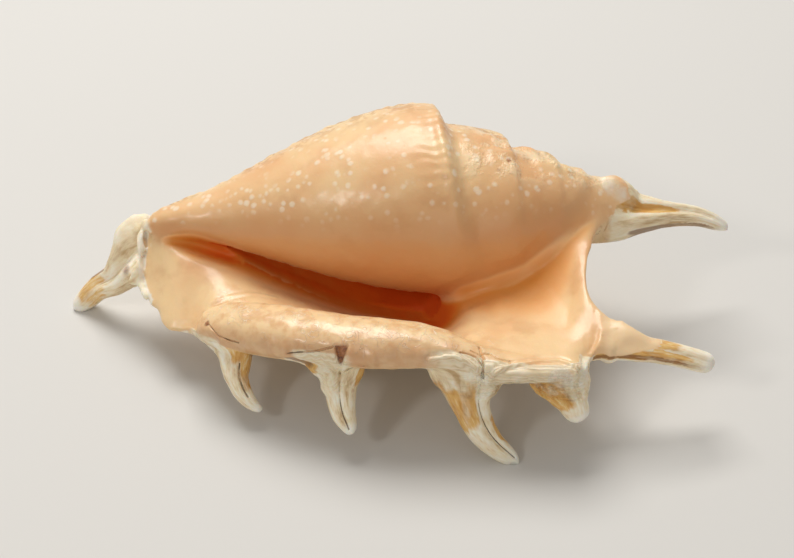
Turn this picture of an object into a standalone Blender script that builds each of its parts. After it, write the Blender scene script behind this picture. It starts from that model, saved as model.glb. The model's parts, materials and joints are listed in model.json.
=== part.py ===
"""A spider conch lying on its back, mouth up, in one piece.

The shell lies along X with its spire towards +X and its canal spine towards -X. Its wide
outer lip with six spines reaches towards -Y, and it rests on the canal spine, on the tip of
the fourth lip spine and on a worn flat on the knob of its back.

Every form is a loft. The coil is a spiral of sections round a nearly level axis, the lip is a
sheet between a root line on the coil and its edge, and the spines are tapered tubes. They
are closed shells that overlap, and a voxel remesh fuses them into one body.
"""
import math

import bmesh
import bpy
import numpy as np

# Coil: angles are degrees round the axis, 0 towards -Y, 90 up, 180 towards +Y, 270 down.
FRONT_X = -0.056
APEX_X = 0.0556
AXIS_Y = -0.004
AXIS_Z = 0.0289
AXIS_SLOPE = 0.04
WHORL_RADIUS = 0.0233
WHORL_ANGLE = 140.0
WHORL_GROWTH = 1.46
WALL = 0.0023
COIL_ROUNDS = 200
COIL_RINGS = 170
THINNEST = 0.00002
TINY = 1e-12

# Ledge: where the last turn ends as a wall, sloped back towards the spire, and the next begins.
LEDGE_ANGLE = 288.0
LAST_ANGLE = 300.0
LEDGE_HALF_TURN = 4.0
LEDGE_SLOPE = 30.0
LEDGE_SLOPE_X = (0.007, 0.014)

# Spire: a cone towards the apex with a step at each turn, worn smooth at the tip.
SHOULDER_TO_APEX = 0.0486
SPIRE_CONE = 0.497
STEP_DEPTH = 0.165
STEP_LENGTH = 0.11
STEP_SINK = 0.0008
STEP_SINK_TO_APEX = (0.004, 0.014)
TIP_LENGTH = 0.009
TIP_SHARE = 0.92
SHOULDER_SOFT = 0.0004
SHOULDER_FALL = 0.0016
SHOULDER_CALLUS = 0.0022

# Callus: the angles over which it covers the steps, and its low swelling beside the mouth.
CALLUS_ABOVE = (125, 75)
CALLUS_BEHIND = (-100, -40)
CALLUS_AT_MOUTH = (235, 290)
CALLUS_SHARE = 0.955
CALLUS_DIP = 0.02
CALLUS_DIP_TO_APEX = (0.030, 0.044)
CALLUS_PAD = 0.0034
CALLUS_PAD_ANGLES = (115, 20)
CALLUS_PAD_START_X = (0.014, 0.027)
CALLUS_PAD_END_X = (0.052, 0.034)

# Where the widest turn of the last whorl lies along X, by angle.
SHOULDER_ANGLES = (-90, -60, 0, 90, 140, 180, 230, 270, 300)
SHOULDER_X = (0.0185, 0.0175, 0.0147, 0.0094, 0.0068, 0.0060, 0.0070, 0.0095, 0.0110)

# Radius of the last whorl as a share of its widest, from its front end to the shoulder.
BODY_PLACES = (0, 0.05, 0.10, 0.16, 0.25, 0.36, 0.47, 0.58, 0.69, 0.79, 0.86, 0.93, 1)
BODY_SHARES = (0.09, 0.145, 0.185, 0.23, 0.31, 0.455, 0.605, 0.745, 0.86, 0.94, 0.98, 1, 0.985)

# Knobs along the shoulder: angle, place along X from it, height, width round, width along X.
KNOBS = (
    (148, -0.0030, 0.0010, 11, 0.0045),
    (186, -0.0025, 0.0016, 11, 0.0045),
    (222, -0.0015, 0.0022, 12, 0.0050),
    (262, 0.0, 0.0031, 15, 0.0060),
)

# Hollow inside the last whorl: its ends along X by angle, from its blind end to the mouth.
HOLLOW_ANGLES = (60, 140, 220, 300)
HOLLOW_FRONT = (-0.008, -0.028, -0.044, -0.052)
HOLLOW_BACK = (0.004, 0.003, 0.0035, 0.011)
HOLLOW_BLIND = 0.12
HOLLOW_LEAST = 0.0003
HOLLOW_SQUARENESS = 0.7
HOLLOW_ROUNDS = 48
HOLLOW_RINGS = 70
MOUTH_LIFT = 0.005

# Edge of the outer lip from the canal round to the spire.
LIP_EDGE = (
    (-0.0550, 0.0000, 0.0205),
    (-0.0565, -0.0075, 0.0170),
    (-0.0550, -0.0150, 0.0145),
    (-0.0520, -0.0225, 0.0125),
    (-0.0500, -0.0265, 0.0120),
    (-0.0450, -0.0270, 0.0125),
    (-0.0400, -0.0335, 0.0145),
    (-0.0295, -0.0400, 0.0175),
    (-0.0170, -0.0455, 0.0200),
    (-0.0045, -0.0490, 0.0215),
    (0.0065, -0.0495, 0.0220),
    (0.0190, -0.0520, 0.0220),
    (0.0305, -0.0530, 0.0225),
    (0.0360, -0.0525, 0.0225),
    (0.0390, -0.0465, 0.0225),
    (0.0402, -0.0415, 0.0236),
    (0.0408, -0.0365, 0.0256),
    (0.0405, -0.0315, 0.0278),
    (0.0410, -0.0265, 0.0290),
    (0.0430, -0.0205, 0.0300),
    (0.0468, -0.0100, 0.0310),
)

# Lip sections, one row for each of some lip points: point, root X, root angle, root depth as
# a share of the coil's radius, leaving angle and reach, arriving angle and reach.
LIP_SECTIONS = (
    (0, -0.053, 285, 0.50, 20, 0.30, 10, 0.20),
    (2, -0.049, 282, 0.80, 18, 0.35, 25, 0.30),
    (5, -0.040, 280, 0.97, 14, 0.40, 25, 0.30),
    (7, -0.028, 279, 1.00, 11, 0.42, 22, 0.31),
    (8, -0.017, 278, 1.00, 10, 0.42, 25, 0.32),
    (9, -0.006, 278, 1.00, 8, 0.42, 25, 0.32),
    (10, 0.004, 279, 1.00, 8, 0.42, 24, 0.30),
    (11, 0.014, 290, 0.93, 6, 0.38, 14, 0.28),
    (12, 0.024, 302, 0.84, 0, 0.36, 4, 0.25),
    (14, 0.030, 318, 0.75, -6, 0.34, 0, 0.25),
    (16, 0.034, 336, 0.72, -12, 0.34, 0, 0.25),
    (18, 0.038, 360, 0.85, -35, 0.34, -2, 0.30),
    (20, 0.045, 392, 0.90, -50, 0.30, -5, 0.30),
)

# Rolled pad on the lip's upper side, by lip point: width in from the edge, and height.
PAD_POINTS = (0, 5.4, 5.9, 6.6, 7.6, 8.5, 9.5, 10.3, 11, 12, 20)
PAD_WIDTHS = (0.001, 0.001, 0.008, 0.0115, 0.013, 0.0125, 0.012, 0.010, 0.0075, 0.005, 0.004)
PAD_HEIGHTS = (0, 0, 0.0022, 0.0036, 0.0042, 0.0042, 0.0036, 0.0026, 0.0010, 0.0002, 0)
PAD_FLATNESS = 2.4
PAD_SWELL = 0.62
EDGE_ROUND = 0.0022
LIP_END = 0.02
LIP_POSTS = 260
LIP_STATIONS = 60

# The sheet is thicker near its spines and thins towards the spire, by lip point.
THICKER = 0.0006
THICKER_FROM_EDGE = (0.018, 0.005)
THICKER_FROM_POINT = (4, 7)
THICKER_TO_POINT = (16, 14)
THINNER = 0.25
THINNER_POINTS = (14, 20)

# Spines: points from the root to the tip, each with half the width and half the depth.
SPINES = {
    "hind": (
        (0.0280, -0.0050, 0.0290, 0.0060, 0.0050),
        (0.0400, -0.0050, 0.0284, 0.0068, 0.0053),
        (0.0476, -0.0052, 0.0276, 0.0062, 0.0046),
        (0.0535, -0.0053, 0.0269, 0.0041, 0.0035),
        (0.0600, -0.0041, 0.0256, 0.0027, 0.0027),
        (0.0670, -0.0024, 0.0236, 0.0021, 0.0022),
        (0.0720, -0.0018, 0.0213, 0.0015, 0.0015),
        (0.0742, -0.0021, 0.0202, 0.0009, 0.0009),
    ),
    "second": (
        (0.0300, -0.0380, 0.0208, 0.0030, 0.0008),
        (0.0390, -0.0410, 0.0208, 0.0034, 0.0019),
        (0.0484, -0.0418, 0.0198, 0.0032, 0.0025),
        (0.0540, -0.0422, 0.0189, 0.0027, 0.0024),
        (0.0593, -0.0419, 0.0172, 0.0025, 0.0023),
        (0.0635, -0.0418, 0.0157, 0.0024, 0.0021),
        (0.0661, -0.0420, 0.0148, 0.0018, 0.0017),
    ),
    "flap": (
        (0.0330, -0.0395, 0.0205, 0.0018, 0.0006),
        (0.0400, -0.0392, 0.0227, 0.0034, 0.0009),
        (0.0455, -0.0400, 0.0230, 0.0024, 0.0011),
        (0.0498, -0.0406, 0.0226, 0.0008, 0.0009),
    ),
    "third": (
        (0.0300, -0.0400, 0.0200, 0.0034, 0.0008),
        (0.0322, -0.0446, 0.0200, 0.0068, 0.0018),
        (0.0333, -0.0484, 0.0188, 0.0064, 0.0028),
        (0.0346, -0.0506, 0.0169, 0.0046, 0.0029),
        (0.0359, -0.0525, 0.0150, 0.0033, 0.0027),
        (0.0369, -0.0538, 0.0133, 0.0026, 0.0023),
        (0.0375, -0.0548, 0.0122, 0.0015, 0.0016),
    ),
    "fourth": (
        (0.0135, -0.0390, 0.0202, 0.0066, 0.0008),
        (0.0144, -0.0455, 0.0206, 0.0092, 0.0018),
        (0.0145, -0.0484, 0.0180, 0.0073, 0.0029),
        (0.0148, -0.0500, 0.0150, 0.0049, 0.0030),
        (0.0156, -0.0511, 0.0118, 0.0037, 0.0028),
        (0.0172, -0.0524, 0.0082, 0.0032, 0.0025),
        (0.0198, -0.0535, 0.0048, 0.0026, 0.0021),
        (0.0229, -0.0546, 0.0025, 0.0020, 0.0016),
        (0.0252, -0.0557, 0.0012, 0.0010, 0.0010),
    ),
    "fifth": (
        (-0.0120, -0.0360, 0.0202, 0.0052, 0.0008),
        (-0.0120, -0.0425, 0.0199, 0.0066, 0.0018),
        (-0.0119, -0.0455, 0.0171, 0.0053, 0.0027),
        (-0.0122, -0.0469, 0.0148, 0.0040, 0.0027),
        (-0.0119, -0.0488, 0.0125, 0.0033, 0.0024),
        (-0.0110, -0.0506, 0.0105, 0.0026, 0.0020),
        (-0.0101, -0.0523, 0.0090, 0.0019, 0.0015),
        (-0.0094, -0.0540, 0.0077, 0.0010, 0.0009),
    ),
    "sixth": (
        (-0.0335, -0.0270, 0.0178, 0.0043, 0.0008),
        (-0.0348, -0.0325, 0.0154, 0.0055, 0.0018),
        (-0.0348, -0.0355, 0.0129, 0.0043, 0.0026),
        (-0.0347, -0.0382, 0.0108, 0.0031, 0.0025),
        (-0.0338, -0.0404, 0.0089, 0.0025, 0.0022),
        (-0.0322, -0.0421, 0.0070, 0.0018, 0.0018),
        (-0.0305, -0.0432, 0.0056, 0.0013, 0.0013),
        (-0.0287, -0.0440, 0.0048, 0.0008, 0.0008),
    ),
    "canal": (
        (-0.0440, -0.0055, 0.0205, 0.0045, 0.0040),
        (-0.0514, -0.0055, 0.0195, 0.0052, 0.0044),
        (-0.0564, -0.0067, 0.0185, 0.0058, 0.0042),
        (-0.0594, -0.0073, 0.0162, 0.0053, 0.0038),
        (-0.0630, -0.0070, 0.0120, 0.0038, 0.0030),
        (-0.0674, -0.0050, 0.0078, 0.0029, 0.0026),
        (-0.0709, -0.0040, 0.0036, 0.0024, 0.0022),
        (-0.0738, -0.0046, 0.0011, 0.0016, 0.0016),
    ),
}

# Each spine's seam: depth as a share of its radius, place round it in degrees, and width.
SEAMS = {
    "hind": (0.40, 70, 16),
    "second": (0.25, 70, 14),
    "flap": (0.0, 90, 14),
    "third": (0.10, 90, 14),
    "fourth": (0.30, 60, 13),
    "fifth": (0.35, 85, 13),
    "sixth": (0.20, 110, 14),
    "canal": (0.50, 80, 30),
}
SEAM_SHARES = (0.10, 0.35)

# Which way each spine's broad side faces, and how its ends round off.
SPINE_FACES = {"hind": (0, -0.50, 0.87), "second": (0, -0.40, 0.92), "flap": (0, -0.40, 0.92)}
LIP_SPINE_FACE = (0, -0.79, 0.61)
SPINE_ROOT = 0.04
SPINE_TIP = 0.05
SPINE_CROWDING = 1.3
SPINE_RINGS = 60
SPINE_ROUNDS = 48

# Fusing and finish.
VOXEL = 0.0007
SMOOTH_PASSES = 4
SMOOTH_FACTOR = 0.5
TRIANGLES = 9000
FOOT_DEPTH = 0.0005
SHELL_COLOUR = (0.83, 0.55, 0.33, 1)
SHELL_ROUGHNESS = 0.35


def clear_scene():
    """Remove everything that a new file starts with."""
    for obj in list(bpy.data.objects):
        bpy.data.objects.remove(obj, do_unlink=True)


def make_collection(name):
    collection = bpy.data.collections.new(name)
    bpy.context.scene.collection.children.link(collection)
    return collection


def curve_through(places, knots, values):
    """Read a smooth curve through the knots, with slopes held back so that it never overshoots."""
    knots = np.asarray(knots, float)
    values = np.asarray(values, float)
    places = np.asarray(places, float)
    gaps = np.diff(knots)
    tall = (slice(None),) + (None,) * (values.ndim - 1)
    rise = np.diff(values, axis=0) / gaps[tall]
    before, after = rise[:-1], rise[1:]
    agree = before * after > 0
    middle = np.where(agree, 2 * before * after / np.where(agree, before + after, 1), 0)
    slopes = np.concatenate([rise[:1], middle, rise[-1:]])
    i = np.clip(np.searchsorted(knots, places, side="right") - 1, 0, len(knots) - 2)
    step = gaps[i]
    t = np.clip((places - knots[i]) / step, 0, 1)
    if values.ndim > 1:
        step = step[..., None]
        t = t[..., None]
    start = (1 + 2 * t) * (1 - t) ** 2 * values[i] + t * (1 - t) ** 2 * step * slopes[i]
    end = t * t * (3 - 2 * t) * values[i + 1] + t * t * (t - 1) * step * slopes[i + 1]
    return start + end


def ease(x, low, high):
    """Rise smoothly from 0 at low to 1 at high, or fall where low is the larger."""
    t = np.clip((x - low) / (high - low), 0, 1)
    return t * t * (3 - 2 * t)


def growth(angle):
    """Size of the spiral at an angle: it grows by the whorl ratio with each whole turn."""
    return WHORL_GROWTH ** ((angle - WHORL_ANGLE) / 360)


def callus_cover(angle):
    """1 where smooth callus covers the steps: on the side facing the lip, and by the mouth."""
    facing_lip = ease(angle, *CALLUS_ABOVE) * ease(angle, *CALLUS_BEHIND)
    return facing_lip + ease(angle, *CALLUS_AT_MOUTH)


def spire_step(phase):
    """Share of the cone's radius: 1 at each shoulder, less just past it, then rising again."""
    p = phase - np.floor(phase)
    fall = 1 - STEP_DEPTH * ease(p, 0, STEP_LENGTH)
    climb = 1 - STEP_DEPTH * (1 - p) / (1 - STEP_LENGTH)
    return np.where(p < STEP_LENGTH, fall, climb)


def coil_radius(angle, x):
    """Radius of the outer wall: the last whorl's profile, then a stepped cone past the shoulder."""
    shoulder_x = curve_through(angle, SHOULDER_ANGLES, SHOULDER_X)
    to_apex = np.maximum(APEX_X - x, 0)
    first_step = APEX_X - shoulder_x
    next_step = SHOULDER_TO_APEX * growth(angle) / WHORL_GROWTH
    first_phase = np.clip((first_step - to_apex) / (first_step - next_step), 0, 0.999)
    later_phase = np.log(np.maximum(to_apex, 1e-6) / next_step) / -math.log(WHORL_GROWTH)
    phase = np.where(to_apex > next_step, first_phase, np.maximum(later_phase, 0))
    cover = callus_cover(angle)
    steps = np.where(to_apex < TIP_LENGTH, TIP_SHARE, spire_step(phase))
    smooth_side = CALLUS_SHARE - CALLUS_DIP * ease(to_apex, *CALLUS_DIP_TO_APEX)
    cone = SPIRE_CONE * to_apex * (steps * (1 - cover) + smooth_side * cover)
    cone -= STEP_SINK * ease(to_apex, *STEP_SINK_TO_APEX) * (1 - cover)
    swelling = CALLUS_PAD * cover * ease(angle, *CALLUS_PAD_ANGLES)
    cone += swelling * ease(x, *CALLUS_PAD_START_X) * ease(x, *CALLUS_PAD_END_X)
    along = np.clip((x - FRONT_X) / (shoulder_x - FRONT_X), 0, 1)
    body = WHORL_RADIUS * growth(angle) * curve_through(along, BODY_PLACES, BODY_SHARES)
    soft = SHOULDER_SOFT + SHOULDER_CALLUS * cover
    past = ease(x, shoulder_x - soft, shoulder_x + SHOULDER_FALL + soft)
    return body * (1 - past) + cone * past


def knob_height(angle, x):
    """Rounded knobs along the shoulder of the last whorl."""
    height = 0
    for place, offset, rise, wide, long in KNOBS:
        middle = curve_through(np.array(float(place)), SHOULDER_ANGLES, SHOULDER_X) + offset
        height = height + rise * np.exp(-((angle - place) / wide) ** 2 - ((x - middle) / long) ** 2)
    return height


def coil_point(angle, x, radius):
    """Place at a radius from the coil's axis, which rises and turns back a little along X."""
    turn = np.radians(angle)
    y = AXIS_Y + AXIS_SLOPE * x - radius * np.cos(turn)
    z = AXIS_Z + AXIS_SLOPE * x + radius * np.sin(turn)
    return np.stack([x + 0 * radius, y, z], -1)


def tube_object(name, grid, collection):
    """Make a closed mesh from rings: grid[round, along] of points, its ends closed to a point."""
    rounds, along = grid.shape[:2]
    i = np.arange(rounds)[:, None]
    j = np.arange(along - 1)[None, :]
    first = i * along + j
    beside = (i + 1) % rounds * along + j
    quads = np.stack([first, beside, beside + 1, first + 1], -1).reshape(-1, 4)
    ring = np.arange(rounds)
    next_ring = (ring + 1) % rounds
    start, end = rounds * along, rounds * along + 1
    start_fan = np.stack([next_ring * along, ring * along, 0 * ring + start], -1)
    last = along - 1
    end_fan = np.stack([ring * along + last, next_ring * along + last, 0 * ring + end], -1)
    points = np.vstack([grid.reshape(-1, 3), grid[:, 0].mean(0), grid[:, -1].mean(0)])
    faces = quads.tolist() + start_fan.tolist() + end_fan.tolist()
    mesh = bpy.data.meshes.new(name)
    mesh.from_pydata(points.tolist(), [], faces)
    turned = bmesh.new()
    turned.from_mesh(mesh)
    bmesh.ops.recalc_face_normals(turned, faces=turned.faces)
    turned.to_mesh(mesh)
    turned.free()
    obj = bpy.data.objects.new(name, mesh)
    collection.objects.link(obj)
    return obj


def coil(collection):
    """Loft the coil. Past the ledge the radius drops to the whorl inside, where the mouth opens."""
    angles = np.linspace(0, 360, COIL_ROUNDS, endpoint=False)[:, None]
    x = np.linspace(FRONT_X, APEX_X, COIL_RINGS)[None, :]
    outer = coil_radius(np.minimum(angles, LAST_ANGLE) + 0 * x, x + 0 * angles)
    outer = outer + knob_height(angles, x)
    inner = coil_radius(np.where(angles > 180, angles - 360, angles) + 0 * x, x + 0 * angles)
    slope = LEDGE_SLOPE * ease(x, *LEDGE_SLOPE_X)
    drop = ease(angles, LEDGE_ANGLE - LEDGE_HALF_TURN - slope, LEDGE_ANGLE + LEDGE_HALF_TURN)
    radius = outer * (1 - drop) + inner * drop
    grid = coil_point(angles, x, np.maximum(radius, THINNEST))
    return tube_object("coil", grid, collection)


def hollow(collection):
    """Loft the space inside the last whorl, from its blind end round to the mouth."""
    share = np.linspace(0, 1, HOLLOW_RINGS)
    angle = HOLLOW_ANGLES[0] + (HOLLOW_ANGLES[-1] - HOLLOW_ANGLES[0]) * share
    front = curve_through(angle, HOLLOW_ANGLES, HOLLOW_FRONT)
    back = curve_through(angle, HOLLOW_ANGLES, HOLLOW_BACK)
    blind = np.sqrt(1 - (1 - np.clip(share / HOLLOW_BLIND, 0, 1)) ** 2)
    blind = np.maximum(blind, HOLLOW_BLIND ** 2)
    around = np.linspace(0, 2 * np.pi, HOLLOW_ROUNDS, endpoint=False)[:, None]
    x = (front + back) / 2 + (back - front) / 2 * blind * np.cos(around)
    angles = angle + 0 * x
    inner = coil_radius(angles - 360, x)
    lift = MOUTH_LIFT * ease(angles, LEDGE_ANGLE - LEDGE_HALF_TURN, LEDGE_ANGLE + LEDGE_HALF_TURN)
    outer = coil_radius(np.minimum(angles, LAST_ANGLE), x) - WALL + lift
    outer = np.maximum(outer, inner + HOLLOW_LEAST)
    height = np.sign(np.sin(around)) * np.abs(np.sin(around)) ** HOLLOW_SQUARENESS
    radius = (outer + inner) / 2 + (outer - inner) / 2 * blind * height
    return tube_object("hollow", coil_point(angles, x, radius), collection)


def lip_places():
    """Distance of each lip point along the edge, as a share of the whole edge."""
    steps = np.linalg.norm(np.diff(LIP_EDGE, axis=0), axis=1)
    places = np.concatenate([[0], np.cumsum(steps)])
    return places / places[-1]


def lip_sheet(along, out):
    """Middle of the lip: cubic curves from a root on the coil (out = 0) to the edge (out = 1)."""
    places = lip_places()
    rows = np.array(LIP_SECTIONS)
    at = places[rows[:, 0].astype(int)]
    root_x, root_angle, depth, leave, reach, arrive, hold = (
        curve_through(along, at, rows[:, k]) for k in range(1, 8)
    )
    edge = curve_through(along, places, LIP_EDGE)
    outer = coil_radius(np.minimum(root_angle, LAST_ANGLE), root_x)
    inner = coil_radius(root_angle - 360, root_x)
    inward = ease(root_angle, LEDGE_ANGLE - LEDGE_HALF_TURN, LAST_ANGLE)
    radius = (outer * (1 - inward) + inner * inward - WALL / 2) * depth
    root = coil_point(root_angle, root_x, radius)
    length = np.linalg.norm(edge - root, axis=-1)
    leave = np.radians(leave)
    arrive = np.radians(arrive)
    across = (edge - root)[..., 0]
    way_out = np.stack([across, -np.cos(leave) * length, np.sin(leave) * length], -1)
    way_in = np.stack([-across, np.cos(arrive) * length, np.sin(arrive) * length], -1)
    first = root + way_out * reach[..., None]
    second = edge + way_in * hold[..., None]
    t = out[..., None]
    near = (1 - t) ** 3 * root + 3 * t * (1 - t) ** 2 * first
    return near + 3 * t * t * (1 - t) * second + t ** 3 * edge


def lip(collection):
    """Loft the outer lip: the sheet's two sides, with the rolled pad on the upper one."""
    along = np.linspace(0, 1, LIP_POSTS)[:, None]
    out = np.sin(np.linspace(0, np.pi / 2, LIP_STATIONS))[None, :]
    along, out = np.broadcast_arrays(along, out)
    middle = lip_sheet(along, out)
    normal = np.cross(np.gradient(middle, axis=1), np.gradient(middle, axis=0))
    normal = normal / np.maximum(np.linalg.norm(normal, axis=-1, keepdims=True), TINY)
    steps = np.linalg.norm(np.diff(middle, axis=1), axis=-1)
    from_edge = np.cumsum(steps[:, ::-1], axis=1)[:, ::-1]
    from_edge = np.concatenate([from_edge, np.zeros((LIP_POSTS, 1))], axis=1)
    numbers = np.arange(len(LIP_EDGE))
    point = np.interp(along, lip_places(), numbers)
    ends = np.sqrt(np.clip(np.minimum(along, 1 - along) / LIP_END, 0, 1))
    rounded = np.sqrt(1 - np.clip(1 - from_edge / EDGE_ROUND, 0, 1) ** 2)
    core = WALL / 2 * (1 - THINNER * ease(point, *THINNER_POINTS))
    width = curve_through(point, PAD_POINTS, PAD_WIDTHS)
    height = curve_through(point, PAD_POINTS, PAD_HEIGHTS)
    across = np.clip(from_edge / width, 0, 1)
    pad = height * np.clip(1 - np.abs(2 * across - 1) ** PAD_FLATNESS, 0, 1) ** PAD_SWELL
    near_spines = ease(point, *THICKER_FROM_POINT) * ease(point, *THICKER_TO_POINT)
    thicker = THICKER * ease(from_edge, *THICKER_FROM_EDGE) * near_spines
    above = (core * rounded + pad) * ends
    below = (core + thicker) * rounded * ends
    top = middle + normal * above[..., None]
    bottom = middle - normal * below[..., None]
    ring = np.concatenate([top, bottom[:, ::-1]], axis=1)
    return tube_object("lip", np.swapaxes(ring, 0, 1), collection)


def spine(name, collection):
    """Loft a tapered oval tube along a spine's points, with its seam as a shallow groove."""
    rows = np.array(SPINES[name])
    points = rows[:, :3]
    steps = np.linalg.norm(np.diff(points, axis=0), axis=1)
    places = np.concatenate([[0], np.cumsum(steps)])
    places = places / places[-1]
    share = 1 - (1 - np.linspace(0, 1, SPINE_RINGS)) ** SPINE_CROWDING
    path = curve_through(share, places, points)
    half_width = curve_through(share, places, rows[:, 3])
    half_depth = curve_through(share, places, rows[:, 4])
    ahead = np.gradient(path, axis=0)
    face = np.array(SPINE_FACES.get(name, LIP_SPINE_FACE))
    side = np.cross(ahead, face)
    side = side / np.linalg.norm(side, axis=1, keepdims=True)
    up = np.cross(side, ahead)
    up = up / np.linalg.norm(up, axis=1, keepdims=True)
    tip = np.sqrt(1 - np.clip((share - 1 + SPINE_TIP) / SPINE_TIP, 0, 1) ** 2)
    root = np.sqrt(np.clip(share / SPINE_ROOT, 0, 1))
    around = np.linspace(0, 360, SPINE_ROUNDS, endpoint=False)[:, None]
    depth, seam_at, seam_width = SEAMS[name]
    off = (around - seam_at + 180) % 360 - 180
    notch = 1 - depth * ease(share, *SEAM_SHARES) * np.exp(-((off / seam_width) ** 2))
    wide = half_width * tip * root * notch * np.cos(np.radians(around))
    deep = half_depth * tip * root * notch * np.sin(np.radians(around))
    grid = path + wide[..., None] * side + deep[..., None] * up
    return tube_object(name, grid, collection)


def evaluated_mesh(obj):
    """Take the object's mesh as its modifiers leave it."""
    depsgraph = bpy.context.evaluated_depsgraph_get()
    return bpy.data.meshes.new_from_object(obj.evaluated_get(depsgraph))


def fuse(name, pieces, collection):
    """Join overlapping closed pieces into one, then remesh, smooth and thin it out."""
    together = bmesh.new()
    for piece in pieces:
        together.from_mesh(evaluated_mesh(piece))
    mesh = bpy.data.meshes.new(name)
    together.to_mesh(mesh)
    together.free()
    obj = bpy.data.objects.new(name, mesh)
    collection.objects.link(obj)
    remesh = obj.modifiers.new("Fuse", "REMESH")
    remesh.mode = "VOXEL"
    remesh.voxel_size = VOXEL
    soften = obj.modifiers.new("Soften", "SMOOTH")
    soften.factor = SMOOTH_FACTOR
    soften.iterations = SMOOTH_PASSES
    dense = evaluated_mesh(obj)
    dense.calc_loop_triangles()
    thin = obj.modifiers.new("Thin", "DECIMATE")
    thin.ratio = TRIANGLES / len(dense.loop_triangles)
    thin.use_collapse_triangulate = True
    return obj


def settle(obj):
    """Wear the lowest knob flat, and put the origin at the middle of the box's underside."""
    body = bmesh.new()
    body.from_mesh(evaluated_mesh(obj))
    low = min(vert.co.z for vert in body.verts)
    cut = bmesh.ops.bisect_plane(
        body,
        geom=body.verts[:] + body.edges[:] + body.faces[:],
        plane_co=(0, 0, low + FOOT_DEPTH),
        plane_no=(0, 0, 1),
        clear_inner=True,
    )
    rim = [edge for edge in cut["geom_cut"] if isinstance(edge, bmesh.types.BMEdge)]
    bmesh.ops.contextual_create(body, geom=rim)
    bmesh.ops.triangulate(body, faces=[face for face in body.faces if len(face.verts) > 3])
    bmesh.ops.recalc_face_normals(body, faces=body.faces)
    corners = np.array([vert.co for vert in body.verts])
    low_corner, high_corner = corners.min(0), corners.max(0)
    middle = (low_corner + high_corner) / 2
    bmesh.ops.translate(body, verts=body.verts, vec=(-middle[0], -middle[1], -low_corner[2]))
    mesh = bpy.data.meshes.new(obj.name)
    body.to_mesh(mesh)
    body.free()
    obj.modifiers.clear()
    obj.data = mesh
    mesh.shade_smooth()


def shell_material():
    material = bpy.data.materials.new("peach_shell")
    material.use_nodes = True
    surface = material.node_tree.nodes["Principled BSDF"]
    surface.inputs["Base Color"].default_value = SHELL_COLOUR
    surface.inputs["Roughness"].default_value = SHELL_ROUGHNESS
    surface.inputs["Metallic"].default_value = 0.0
    return material


def main():
    clear_scene()
    parts = make_collection("scorpion_spider_conch")
    workings = make_collection("workings")
    body = coil(workings)
    cavity = hollow(workings)
    cut = body.modifiers.new("Mouth", "BOOLEAN")
    cut.operation = "DIFFERENCE"
    cut.object = cavity
    pieces = [body, lip(workings)] + [spine(name, workings) for name in SPINES]
    shell = fuse("conch_shell", pieces, parts)
    settle(shell)
    shell.data.materials.append(shell_material())
    for obj in list(workings.objects):
        bpy.data.objects.remove(obj, do_unlink=True)
    bpy.data.collections.remove(workings)


main()
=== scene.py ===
# %% [markdown]
# # A spider conch on its back
#
# A spider conch is a sea snail's shell. One skin of the snail laid down all of it, so it is one
# piece: a coil, a pointed spire, and a wide outer lip that grew long hollow spines. This lesson
# builds its fine surface with numpy, around the plain solid that the frame holds, and then gives
# it a glazed peach skin, an orange mouth and chalky, stained spines.
#
# The frame comes first, because every size below has to agree with it.

# %% Load the frame
import json
import math

import bpy
import bmesh
import numpy as np
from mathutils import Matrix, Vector

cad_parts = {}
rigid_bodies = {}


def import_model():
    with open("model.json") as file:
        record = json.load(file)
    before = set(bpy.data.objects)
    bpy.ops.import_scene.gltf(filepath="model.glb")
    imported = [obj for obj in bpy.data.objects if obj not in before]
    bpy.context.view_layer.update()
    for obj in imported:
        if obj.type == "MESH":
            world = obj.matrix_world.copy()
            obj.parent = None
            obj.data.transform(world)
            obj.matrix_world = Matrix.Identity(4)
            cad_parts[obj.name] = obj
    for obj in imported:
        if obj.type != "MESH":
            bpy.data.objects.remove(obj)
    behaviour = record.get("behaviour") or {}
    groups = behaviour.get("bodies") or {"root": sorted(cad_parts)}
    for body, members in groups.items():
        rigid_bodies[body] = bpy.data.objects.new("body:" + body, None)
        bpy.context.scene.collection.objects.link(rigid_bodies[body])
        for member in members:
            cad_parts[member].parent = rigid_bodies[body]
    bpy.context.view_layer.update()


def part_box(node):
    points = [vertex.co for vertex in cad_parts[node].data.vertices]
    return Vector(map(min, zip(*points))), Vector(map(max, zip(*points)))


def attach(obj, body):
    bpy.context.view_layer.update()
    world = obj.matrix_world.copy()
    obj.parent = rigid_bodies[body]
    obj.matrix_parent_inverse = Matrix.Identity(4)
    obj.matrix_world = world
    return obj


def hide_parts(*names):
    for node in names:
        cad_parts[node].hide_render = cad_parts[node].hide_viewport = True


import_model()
CAD_LOW, CAD_HIGH = (np.array(corner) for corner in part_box("conch_shell"))
print("the shell's solid is", np.round((CAD_HIGH - CAD_LOW) * 1000, 1), "mm")

# %% [markdown]
# ## Tools for smooth shapes
#
# Nearly all forms of a shell are smooth curves through a few sizes: how wide the whorl is here,
# how far the lip reaches there. These helpers work on whole arrays at once. `ease` is a soft
# step, `between` is a step up and a step down, `mound` is a bell, and `curve_through` reads a
# smooth curve through chosen values. `waves` adds the unevenness that nothing grown goes without.

# %% Soft steps, curves and waves
def ease(x, low, high):
    """Rise from 0 at low to 1 at high as t * t * (3 - 2 t), or fall where low is the larger."""
    t = np.clip((x - low) / (high - low), 0, 1)
    return t * t * (3 - 2 * t)


def between(x, rise, fall):
    """A soft step up through the first pair of places times a soft step down through the second."""
    return ease(x, *rise) * ease(x, *fall)


def mound(x, middle, width):
    """A bell: e to the minus square of the distance from the middle over the width."""
    return np.exp(-(((x - middle) / width) ** 2))


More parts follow.
